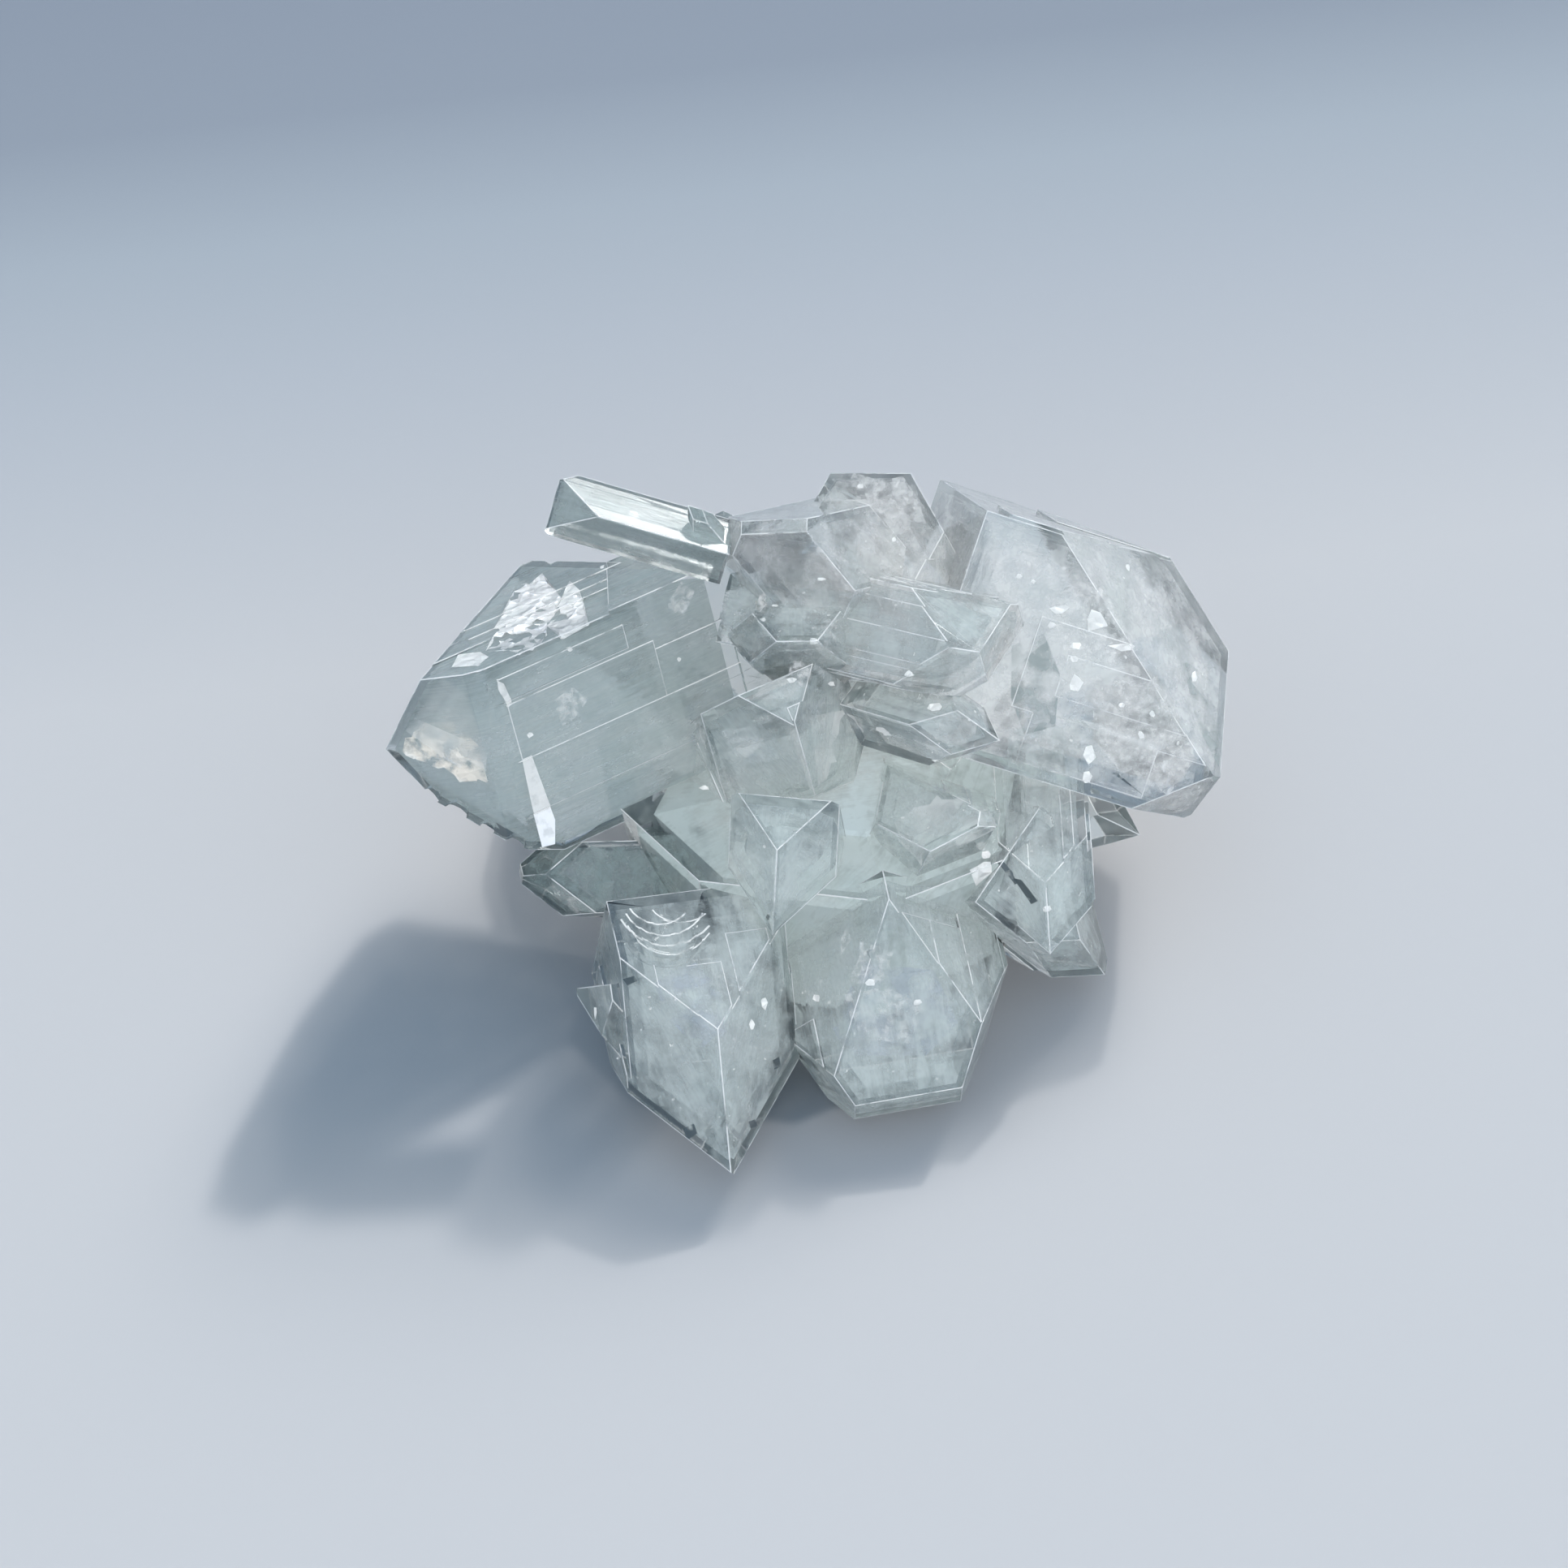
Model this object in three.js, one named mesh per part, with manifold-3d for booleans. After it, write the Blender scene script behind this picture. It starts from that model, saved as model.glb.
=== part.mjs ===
// Apophyllite specimen: a cluster of clear, tetragonal crystals grown together as one piece.
// Millimetres, +Z up. +X is the long way of the cluster, and -Y is its front. The crystals are
// placed about the middle of the broken foot. The finished cluster is moved so that the origin is
// at the middle of its outline seen from above, on the surface that it rests on.

import * as THREE from 'three';
import { ConvexGeometry } from 'three/addons/geometries/ConvexGeometry.js';
import { mergeVertices } from 'three/addons/utils/BufferGeometryUtils.js';
import Module from 'manifold-3d';

const { degToRad } = THREE.MathUtils;

// Apophyllite's pyramid faces stand this far from the basal plane, over the prism's edges.
const PYRAMID_TILT = 60.4;

// Every crystal has its ideal tip, the way that the tip points (azimuth from +X and rise above
// the horizontal), its turn about its long axis, the half width of its prism and its length.
// sides gives the four prism faces each their own distance from the axis, in place of half.
// blunt is how much of the ideal tip the basal face takes off. set moves each pyramid face
// outwards, as real crystals have some faces smaller than others. cuts are further faces, each
// with its direction across the axis, its tilt from the axis and its distance from the tip.
// ledges is how many growth ledges lie along each of its prism faces.
const CRYSTALS = {
  main: {
    tip: [-31.3, 4.2, 16], azimuth: -147, rise: 2.2, turn: 27, half: 7.8, length: 32,
    set: [9, 0, 0, 9],
    cuts: [
      { across: 0, tilt: 47, reach: 1.3 },
      { across: 0, tilt: 68, reach: 4.5 },
      { across: -112, tilt: 54, reach: -1.3 },
      { across: -95, tilt: 66, reach: 2.6 },
      { across: -128, tilt: 38, reach: -2.6 },
      { across: 180, tilt: 150, reach: 19 },
      { across: -135, tilt: 90, reach: 3 },
    ],
    ledges: 4,
  },
  main_step: {
    tip: [-31.3, 4.2, 16], azimuth: -147, rise: 2.2, turn: 27, sides: [7.8, 8.05, 0.3, 7], length: 32,
    set: [20, 20, 20, 20],
    cuts: [{ across: 180, tilt: 27.7, reach: -19.2 }],
  },
  rear_left: {
    tip: [-19.7, 16.2, 32.6], azimuth: 169, rise: 12, turn: 91, half: 1.65, length: 14.5, blunt: 1.5,
    set: [0.7, 1.1, 1.1, -0.4],
  },
  ridge: {
    tip: [-0.9, 12.5, 34.6], azimuth: -119, rise: 67, turn: -20, half: 5, length: 22, blunt: 0.4,
    set: [0.3, -0.3, 3.4, 0.8], ledges: 1,
  },
  rear: {
    tip: [6, 24, 28.5], azimuth: 90, rise: 45, turn: 134, half: 5, length: 16, blunt: 1.1,
    set: [0.6, 0.5, 3.4, 0.5], ledges: 1,
  },
  right: {
    tip: [33.7, 14.9, 10.7], azimuth: -5, rise: -20, turn: 139, half: 8.7, length: 27, blunt: 4,
    set: [5.9, 0.4, 0.3, 0.2], ledges: 3,
  },
  front_left: {
    tip: [-4.9, -22.1, 3.8], azimuth: -77, rise: -9, turn: 84, sides: [5.8, 6.2, 4.4, 6.2], length: 20,
    set: [-0.2, 0.4, 0, -0.9], ledges: 3,
  },
  front_right: {
    tip: [8.2, -17.7, 2.6], azimuth: -79, rise: -13, turn: 137, half: 6, length: 17, blunt: 2.4,
    set: [2.9, -0.4, 1.5, 0.1],
    cuts: [{ across: 135, tilt: 90, reach: 4 }],
    ledges: 3,
  },
  corner: {
    tip: [22.5, -2, 2.5], azimuth: -21, rise: -36, turn: 115, half: 4.3, length: 13,
    set: [1.3, 0.3, 0, -0.7], ledges: 1,
  },
  centre: {
    tip: [0, 5.8, 28], azimuth: -89, rise: 41, turn: 135, half: 4.1, length: 22, blunt: 0.4,
    set: [1.7, -0.8, 0, 0], ledges: 1,
  },
  plate: {
    tip: [15.6, 6.1, 26.4], azimuth: -29, rise: 13, turn: 138, half: 3.5, length: 24, blunt: 3,
    set: [0, -0.4, 2.1, 0], ledges: 4,
  },
  spark: {
    tip: [13.4, 3.1, 21.3], azimuth: -36, rise: 17, turn: 100, half: 2.3, length: 12,
  },
  middle_right: {
    tip: [8.5, -4.3, 17], azimuth: -88, rise: 39, turn: 72, half: 4, length: 14,
    set: [0, -0.5, -0.7, 3.1], ledges: 1,
  },
  column: {
    tip: [17.1, -7.3, 10], azimuth: -89, rise: -2, turn: 95, half: 3.2, length: 20, ledges: 1,
  },
  middle: {
    tip: [-2.7, -7.5, 12.5], azimuth: -98, rise: -16, turn: 93, half: 3.9, length: 9,
  },
  shoulder: {
    tip: [0.9, 2, 13.5], azimuth: -61, rise: -34, turn: 98, half: 5.5, length: 10.5, blunt: 1.9,
    set: [0, 3.9, 2.8, 0], ledges: 1,
  },
  grey: {
    tip: [-21.1, 0.1, 9], azimuth: -170, rise: 10, turn: 55, half: 2.6, length: 14,
    set: [1.1, 0.5, -0.4, 0.7],
  },
  thorn: { tip: [-8.7, 14.7, 33.3], azimuth: 152, rise: 46, turn: 20, half: 0.7, length: 4 },
  side: {
    tip: [-12.9, -13.2, 4.6], azimuth: -80, rise: -38, turn: 60, half: 2.2, length: 6,
    set: [0.3, 0, 0.4, 0],
  },
  under_right: { tip: [24.2, 4.5, 9], azimuth: -24, rise: -8, turn: 35, half: 2.6, length: 12 },
  back_left: { tip: [-19, 24, 7], azimuth: 130, rise: -8, turn: 30, half: 4, length: 24, ledges: 1 },
  back: {
    tip: [-3, 27, 10], azimuth: 100, rise: 8, turn: 62, half: 4.6, length: 22, blunt: 0.8,
    ledges: 3,
  },
  back_right: { tip: [15, 27, 5], azimuth: 62, rise: -16, turn: 15, half: 4.4, length: 22, ledges: 1 },
};

// The broken underside, where the cluster was parted from its rock: corner points of its flat
// foot, and of the wider girth above it.
const FOOT = [[-11, 2], [-6, -6], [5, -8], [13, -3], [14, 8], [6, 15], [-6, 14]];
const GIRTH = [[-14, 4], [-8, -3], [6, -5], [16, 0], [18, 11], [8, 18], [-9, 17]];
const GIRTH_HEIGHT = 13;

// Growth ledges: how far they stand proud, how deep they are rooted in the face, and how wide
// and long they are at most, as shares of the face.
const LEDGE_RISE = [0.12, 0.3];
const LEDGE_ROOT = 0.6;
const LEDGE_WIDTH = [0.12, 0.4];
const LEDGE_LENGTH = [0.35, 0.9];
const LEDGE_START = [0, 0.6];

// The shell-shaped scar of a break on the front left crystal: a shallow dish in its upper face,
// with rings that ripple it, and the way that it faces.
const SCAR = {
  centre: [-10.4, -7.1, 12.6], azimuth: -66, rise: 70,
  radius: 3, depth: 0.42, ripple: 0.06, rings: 4, stepsOfRing: 4, sides: 30,
};

// Chips along the main crystal's broken lower edge: the middle and the size of each.
const CHIPS = [
  { centre: [-27.1, 2.2, 16.4], size: 0.8 },
  { centre: [-25.3, 1.5, 15.5], size: 1 },
  { centre: [-23.1, 0.7, 14.6], size: 0.7 },
  { centre: [-21.2, 0, 13.6], size: 0.9 },
];

// Points closer than this are one point, and planes that enclose less than it are parallel.
const SAME_POINT = 1e-4;
const PARALLEL = 1e-6;

// Edges of the finished cluster that are shorter than this are merged.
const FINEST = 0.01;

// The fixed row of random numbers: its first, its factor and its length.
const FIRST_SEED = 7;
const SEED_FACTOR = 16807;
const SEED_LIMIT = 2147483647;

const wasm = await Module();
wasm.setup();

let seed = FIRST_SEED;

/** The next of a fixed row of random numbers between two limits. */
function between([low, high]) {
  seed = (seed * SEED_FACTOR) % SEED_LIMIT;
  return low + ((high - low) * seed) / SEED_LIMIT;
}

/** The direction at an azimuth from +X and a rise above the horizontal. */
function headingOf({ azimuth, rise }) {
  const a = degToRad(azimuth);
  const r = degToRad(rise);
  return new THREE.Vector3(Math.cos(r) * Math.cos(a), Math.cos(r) * Math.sin(a), Math.sin(r));
}

/** A face's outward direction in a crystal's own frame, whose long axis is +Z. */
function directionOf(across, tilt) {
  const a = degToRad(across);
  const t = degToRad(tilt);
  return new THREE.Vector3(Math.sin(t) * Math.cos(a), Math.sin(t) * Math.sin(a), Math.cos(t));
}

/** The faces of one crystal in its own frame, with the ideal tip at the origin. */
function facesOf({ half, sides, length, blunt = 0, set = [0, 0, 0, 0], cuts = [] }) {
  const faces = [
    { normal: directionOf(0, 0), reach: -blunt },
    { normal: directionOf(0, 180), reach: length },
  ];
  for (let side = 0; side < 4; side += 1) {
    faces.push({ normal: directionOf(90 * side, 90), reach: sides ? sides[side] : half });
    faces.push({ normal: directionOf(90 * side + 45, PYRAMID_TILT), reach: set[side] });
  }
  for (const { across, tilt, reach } of cuts) {
    faces.push({ normal: directionOf(across, tilt), reach });
  }
  return faces;
}

/** The point on three planes, or null where two of them are parallel. */
function meetingPoint(a, b, c) {
  const bc = new THREE.Vector3().crossVectors(b.normal, c.normal);
  const volume = a.normal.dot(bc);
  if (Math.abs(volume) < PARALLEL) return null;
  const ca = new THREE.Vector3().crossVectors(c.normal, a.normal);
  const ab = new THREE.Vector3().crossVectors(a.normal, b.normal);
  bc.multiplyScalar(a.reach).addScaledVector(ca, b.reach).addScaledVector(ab, c.reach);
  return bc.divideScalar(volume);
}

/** Corner points where three faces meet, kept when they lie inside all the others. */
function cornersOf(faces) {
  const corners = [];
  for (let i = 0; i < faces.length; i += 1) {
    for (let j = i + 1; j < faces.length; j += 1) {
      for (let k = j + 1; k < faces.length; k += 1) {
        const point = meetingPoint(faces[i], faces[j], faces[k]);
        if (point && faces.every(({ normal, reach }) => normal.dot(point) <= reach + PARALLEL)) {
          corners.push(point);
        }
      }
    }
  }
  return corners;
}

/** Turns a crystal's own frame into the cluster's frame. */
function placeOf({ tip, azimuth, rise, turn }) {
  const t = degToRad(turn);
  const long = headingOf({ azimuth, rise });
  const side = headingOf({ azimuth: azimuth + 90, rise: 0 });
  const up = new THREE.Vector3().crossVectors(long, side);
  const x = side.clone().multiplyScalar(Math.cos(t)).addScaledVector(up, Math.sin(t));
  const y = side.clone().multiplyScalar(-Math.sin(t)).addScaledVector(up, Math.cos(t));
  return new THREE.Matrix4().makeBasis(x, y, long).setPosition(...tip);
}

/** A closed geometry as a solid that can be joined and cut. */
function solidOf(geometry) {
  const bare = geometry.clone();
  bare.deleteAttribute('normal');
  bare.deleteAttribute('uv');
  const merged = mergeVertices(bare, SAME_POINT);
  return new wasm.Manifold(new wasm.Mesh({
    numProp: 3,
    vertProperties: new Float32Array(merged.attributes.position.array),
    triVerts: new Uint32Array(merged.index.array),
  }));
}

/** One whole crystal, with flat faces all round. */
function crystal(shape) {
  const geometry = new ConvexGeometry(cornersOf(facesOf(shape)));
  geometry.applyMatrix4(placeOf(shape));
  return solidOf(geometry);
}

/** Long low ledges on a crystal's prism faces, each a thin crystal grown along it. */
function ledgesOf(shape) {
  const { half, sides = [half, half, half, half], length, blunt = 0, ledges = 0 } = shape;
  const grown = [];
  for (let face = 0; face < 4; face += 1) {
    const right = sides[(face + 3) % 4];
    const left = sides[(face + 1) % 4];
    for (let n = 0; n < ledges; n += 1) {
      const width = between(LEDGE_WIDTH) * (left + right);
      const start = between([0, 1]) * (left + right - width) - right;
      const long = between(LEDGE_LENGTH) * length;
      const top = between(LEDGE_START) * (length - long);
      const reach = [];
      reach[face] = sides[face] + between(LEDGE_RISE);
      reach[(face + 2) % 4] = LEDGE_ROOT - sides[face];
      reach[(face + 1) % 4] = start + width;
      reach[(face + 3) % 4] = -start;
      const end = { blunt: Math.max(blunt, top), length: Math.min(length, top + long) };
      grown.push(crystal({ ...shape, ...end, sides: reach }));
    }
  }
  return grown;
}

/** The space of the shell-shaped scar, from its deepest point to above the crystal's face. */
function scar() {
  const { centre, radius, depth, ripple, rings, stepsOfRing, sides } = SCAR;
  const profile = [];
  const steps = rings * stepsOfRing;
  for (let n = 0; n <= steps; n += 1) {
    const share = n / steps;
    const wave = ripple * Math.sin(2 * Math.PI * rings * share);
    profile.push(new THREE.Vector2(radius * share, -depth * (1 - share * share) + wave));
  }
  profile.push(new THREE.Vector2(radius, radius), new THREE.Vector2(0, radius));
  const dish = new THREE.LatheGeometry(profile, sides);
  const up = new THREE.Vector3(0, 1, 0);
  dish.applyQuaternion(new THREE.Quaternion().setFromUnitVectors(up, headingOf(SCAR)));
  dish.translate(...centre);
  return solidOf(dish);
}

/** A rough lump of space, which leaves a chip in an edge. */
function chip({ centre, size }) {
  const lump = new THREE.IcosahedronGeometry(size, 0);
  lump.translate(...centre);
  return solidOf(lump);
}

/** The broken underside, which stands flat. */
function brokenFoot() {
  const points = FOOT.map(([x, y]) => new THREE.Vector3(x, y, 0));
  for (const [x, y] of GIRTH) {
    points.push(new THREE.Vector3(x, y, GIRTH_HEIGHT));
  }
  return solidOf(new ConvexGeometry(points));
}

/** A solid as a geometry for a mesh. */
function geometryOf(solid) {
  const { vertProperties, triVerts } = solid.getMesh();
  const geometry = new THREE.BufferGeometry();
  geometry.setAttribute('position', new THREE.BufferAttribute(vertProperties, 3));
  geometry.setIndex(new THREE.BufferAttribute(triVerts, 1));
  geometry.computeVertexNormals();
  return geometry;
}

const shapes = Object.values(CRYSTALS);
const solids = shapes.flatMap((shape) => [crystal(shape), ...ledgesOf(shape)]);
const grown = solids.reduce((whole, piece) => whole.add(piece), brokenFoot());
const cluster = [scar(), ...CHIPS.map(chip)].reduce((whole, space) => whole.subtract(space), grown);

const geometry = geometryOf(cluster.asOriginal().simplify(FINEST));
geometry.computeBoundingBox();
const middle = geometry.boundingBox.getCenter(new THREE.Vector3());
geometry.translate(-middle.x, -middle.y, 0);

const material = new THREE.MeshStandardMaterial({
  color: 0xc3d1cc, roughness: 0.12, metalness: 0, flatShading: true,
});
const mesh = new THREE.Mesh(geometry, material);
mesh.name = 'apophyllite_cluster';
const specimen = new THREE.Group();
specimen.add(mesh);

export default specimen;
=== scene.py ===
"""Looks of an apophyllite specimen: a cluster of clear crystals grown together, on a pale floor.

Everything is in metres, +Z up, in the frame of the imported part. Sizes below are millimetres times MM.
"""

from __future__ import annotations

import logging
import math
import random
from dataclasses import dataclass, field
from enum import Enum
from itertools import combinations

import bmesh
import bpy
from mathutils import Matrix, Vector
from mathutils.bvhtree import BVHTree
from mathutils.geometry import delaunay_2d_cdt

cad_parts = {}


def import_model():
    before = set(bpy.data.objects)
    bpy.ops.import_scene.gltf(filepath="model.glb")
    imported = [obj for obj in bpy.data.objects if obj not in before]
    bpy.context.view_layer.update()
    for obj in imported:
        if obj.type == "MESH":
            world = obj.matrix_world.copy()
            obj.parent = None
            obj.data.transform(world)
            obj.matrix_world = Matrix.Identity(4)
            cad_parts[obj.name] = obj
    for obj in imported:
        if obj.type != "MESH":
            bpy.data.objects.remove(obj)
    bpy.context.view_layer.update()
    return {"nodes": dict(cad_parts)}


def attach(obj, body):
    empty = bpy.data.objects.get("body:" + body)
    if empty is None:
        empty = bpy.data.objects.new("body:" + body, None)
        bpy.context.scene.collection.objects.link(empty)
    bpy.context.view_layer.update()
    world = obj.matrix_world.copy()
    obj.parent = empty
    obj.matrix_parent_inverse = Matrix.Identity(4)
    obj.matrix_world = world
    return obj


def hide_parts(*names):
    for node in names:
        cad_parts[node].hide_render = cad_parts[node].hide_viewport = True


MM = 0.001
PHOTO_SIDE = 1932
CLUSTER_NODE = "apophyllite_cluster"
log = logging.getLogger("apophyllite")

# The lowest left and front corners of the broken foot, as the part's source gives them.
FOOT_LEFT = -11 * MM
FOOT_FRONT = -8 * MM
# The outlines of the foot and of the wider girth above it, in the source's millimetres.
FOOT = ((-11, 2), (-6, -6), (5, -8), (13, -3), (14, 8), (6, 15), (-6, 14))
GIRTH = ((-14, 4), (-8, -3), (6, -5), (16, 0), (18, 11), (8, 18), (-9, 17))
# Where the pyramid faces of apophyllite stand, from the base.
PYRAMID_TILT = 60.4


class Tone(Enum):
    """The colours of the specimen, as linear red, green and blue."""

    CLEAR = (0.9, 0.955, 0.945)
    FROST = (0.68, 0.75, 0.755)
    MIST = (0.42, 0.49, 0.495)
    ROOT = (0.62, 0.7, 0.695)
    LAVENDER = (0.36, 0.41, 0.49)
    CREAM = (0.97, 0.92, 0.84)
    # Also the white of the painted highlights and of the painted light.
    BRIGHT = (1.0, 1.0, 1.0)
    SLATE = (0.05, 0.07, 0.08)
    GREY_GREEN = (0.24, 0.3, 0.3)

    def rgba(self, alpha: float = 1.0) -> tuple[float, float, float, float]:
        """The colour with an alpha."""
        return (*self.value, alpha)


class Nodes:
    """A short way to build a material's or a world's node tree."""

    def __init__(self, tree: bpy.types.NodeTree) -> None:
        """Empties the tree.

        Args:
            tree: The node tree to build in.
        """
        self.tree = tree
        tree.nodes.clear()

    def add(self, kind: str, **inputs: object) -> bpy.types.Node:
        """Adds a node and sets or links its inputs.

        Args:
            kind: The node's type. Words after a colon set its operation.
            inputs: Input names, with spaces as underscores, or in0 to in3 for places. A socket is linked.

        Returns:
            The new node.
        """
        kind, _, operation = kind.partition(":")
        node = self.tree.nodes.new(kind)
        if operation:
            node.operation = operation
        for name, value in inputs.items():
            place = name[2:]
            key = int(place) if name.startswith("in") and place.isdigit() else name.replace("_", " ")
            if isinstance(value, bpy.types.NodeSocket):
                self.tree.links.new(value, node.inputs[key])
            else:
                node.inputs[key].default_value = value
        return node

    def link(self, source: bpy.types.NodeSocket, target: bpy.types.NodeSocket) -> None:
        """Links two sockets."""
        self.tree.links.new(source, target)

    def ramp(self, factor: bpy.types.NodeSocket, stops: list[tuple[float, tuple]]) -> bpy.types.Node:
        """Adds a colour ramp.

        Args:
            factor: What it reads.
            stops: Its places from 0 to 1, each with a colour of four numbers.

        Returns:
            The ramp node.
        """
        node = self.add("ShaderNodeValToRGB", Fac=factor)
        marks = node.color_ramp.elements
        marks[0].position, marks[0].color = stops[0]
        marks[1].position, marks[1].color = stops[-1]
        for place, colour in stops[1:-1]:
            marks.new(place).color = colour
        return node


@dataclass(frozen=True)
class ClearCrystal:
    """The finish of the crystals: see-through, faintly green, with growth lines along the prisms."""

    tone: Tone = Tone.CLEAR
    transmission: float = 0.93
    refraction: float = 1.535
    roughness: float = 0.03
    absorption: tuple[float, float, float] = (0.62, 0.86, 0.84)
    absorption_density: float = 6.0
    line_height: float = 0.012 * MM

    def material(self) -> bpy.types.Material:
        """Builds the crystal material.

        Returns:
            The new material.
        """
        made = bpy.data.materials.new("clear_apophyllite")
        made.use_nodes = True
        n = Nodes(made.node_tree)
        lines = n.add("ShaderNodeUVMap")
        lines.uv_map = "growth"
        stretch = n.add("ShaderNodeMapping", Vector=lines.outputs["UV"], Scale=(3.2, 0.16, 1.0))
        fine = n.add("ShaderNodeTexNoise", Vector=stretch.outputs[0], Scale=2.0, Detail=3.0, Roughness=0.62)
        place = n.add("ShaderNodeTexCoord")
        cloud = n.add("ShaderNodeTexNoise", Vector=place.outputs["Object"], Scale=260.0, Detail=2.0)
        tint = n.ramp(
            cloud.outputs["Fac"],
            [(0.35, self.tone.rgba()), (0.7, (0.97, 0.985, 0.985, 1.0))],
        )
        rough = n.add(
            "ShaderNodeMapRange", Value=fine.outputs["Fac"], in1=0.5, in2=0.75, in3=self.roughness, in4=0.12
        )
        bump = n.add("ShaderNodeBump", Height=fine.outputs["Fac"], Strength=0.6, Distance=self.line_height)
        skin = n.add(
            "ShaderNodeBsdfPrincipled",
            Base_Color=tint.outputs["Color"],
            Roughness=rough.outputs["Result"],
            IOR=self.refraction,
            Transmission_Weight=self.transmission,
            Normal=bump.outputs["Normal"],
        )
        depth = n.add(
            "ShaderNodeVolumeAbsorption", Color=(*self.absorption, 1.0), Density=self.absorption_density
        )
        out = n.add("ShaderNodeOutputMaterial")
        n.link(skin.outputs[0], out.inputs["Surface"])
        n.link(depth.outputs[0], out.inputs["Volume"])
        return made


@dataclass(frozen=True)
class InnerCloud:
    """The finish of the milky growth zones inside the crystals: thin, broken, and lit from all sides."""

    name: str = "milky_zone"
    tone: Tone = Tone.FROST
    cover: tuple[float, float] = (0.4, 0.62)
    thinnest: float = 0.05
    thickest: float = 0.5
    across: float = 1.1
    along: float = 0.16
    spots: float = 420.0
    spot_share: float = 0.6

    def material(self) -> bpy.types.Material:
        """Builds the wispy material.

        Returns:
            The new material.
        """
        made = bpy.data.materials.new(self.name)
        made.use_nodes = True
        n = Nodes(made.node_tree)
        lines = n.add("ShaderNodeUVMap")
        lines.uv_map = "growth"
        stretch = n.add("ShaderNodeMapping", Vector=lines.outputs["UV"], Scale=(self.across, self.along, 1.0))
        wisp = n.add("ShaderNodeTexNoise", Vector=stretch.outputs[0], Scale=1.0, Detail=3.0, Roughness=0.72)
        place = n.add("ShaderNodeTexCoord")
        spots = n.add(
            "ShaderNodeTexNoise", Vector=place.outputs["Object"], Scale=self.spots, Detail=3.0, Roughness=0.66
        )
        streaks = n.add("ShaderNodeMath:MULTIPLY", in0=wisp.outputs["Fac"], in1=1 - self.spot_share)
        both = n.add(
            "ShaderNodeMath:MULTIPLY_ADD",
            in0=spots.outputs["Fac"],
            in1=self.spot_share,
            in2=streaks.outputs[0],
        )
        low, high = self.cover
        alpha = n.add(
            "ShaderNodeMapRange",
            Value=both.outputs[0],
            in1=low,
            in2=high,
            in3=self.thinnest,
            in4=self.thickest,
        )
        skin = n.add(
            "ShaderNodeBsdfPrincipled",
            Base_Color=self.tone.rgba(),
            Roughness=0.6,
            Specular_IOR_Level=0.0,
            Alpha=alpha.outputs["Result"],
        )
        n.add("ShaderNodeOutputMaterial", Surface=skin.outputs[0])
        return made


@dataclass(frozen=True)
class FrostedBreak:
    """The finish of a crack inside clear crystal that scatters the light, and of the painted highlights."""

    name: str
    tone: Tone = Tone.BRIGHT
    thinnest: float = 0.25
    thickest: float = 1.0
    grain: float = 1100.0
    cover: tuple[float, float] = (0.36, 0.5)

    def material(self) -> bpy.types.Material:
        """Builds the scattering material.

        Returns:
            The new material.
        """
        made = bpy.data.materials.new(self.name)
        made.use_nodes = True
        n = Nodes(made.node_tree)
        place = n.add("ShaderNodeTexCoord")
        grain = n.add("ShaderNodeTexNoise", Vector=place.outputs["Object"], Scale=self.grain, Detail=6.0)
        bump = n.add("ShaderNodeBump", Height=grain.outputs["Fac"], Strength=0.7, Distance=0.15 * MM)
        low, high = self.cover
        alpha = n.add(
            "ShaderNodeMapRange",
            Value=grain.outputs["Fac"],
            in1=low,
            in2=high,
            in3=self.thinnest,
            in4=self.thickest,
        )
        skin = n.add(
            "ShaderNodeBsdfPrincipled",
            Base_Color=self.tone.rgba(),
            Roughness=0.35,
            Alpha=alpha.outputs["Result"],
            Normal=bump.outputs["Normal"],
        )
        n.add("ShaderNodeOutputMaterial", Surface=skin.outputs[0])
        return made


@dataclass(frozen=True)
class Mottle:
    """The finish of dark, tinted or bright patches, broken up by noise; the soft lights among them are
    painted light.
    """

    name: str
    tone: Tone = Tone.SLATE
    cover: tuple[float, float] = (0.4, 0.6)
    thickest: float = 0.8
    grain: float = 700.0

    def material(self) -> bpy.types.Material:
        """Builds the dull mottled material.

        Returns:
            The new material.
        """
        made = bpy.data.materials.new(self.name)
        made.use_nodes = True
        n = Nodes(made.node_tree)
        place = n.add("ShaderNodeTexCoord")
        mottle = n.add("ShaderNodeTexNoise", Vector=place.outputs["Object"], Scale=self.grain, Detail=6.0)
        low, high = self.cover
        alpha = n.add(
            "ShaderNodeMapRange", Value=mottle.outputs["Fac"], in1=low, in2=high, in3=0.0, in4=self.thickest
        )
        skin = n.add(
            "ShaderNodeBsdfPrincipled",
            Base_Color=self.tone.rgba(),
            Roughness=0.55,
            Alpha=alpha.outputs["Result"],
        )
        n.add("ShaderNodeOutputMaterial", Surface=skin.outputs[0])
        return made


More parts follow.
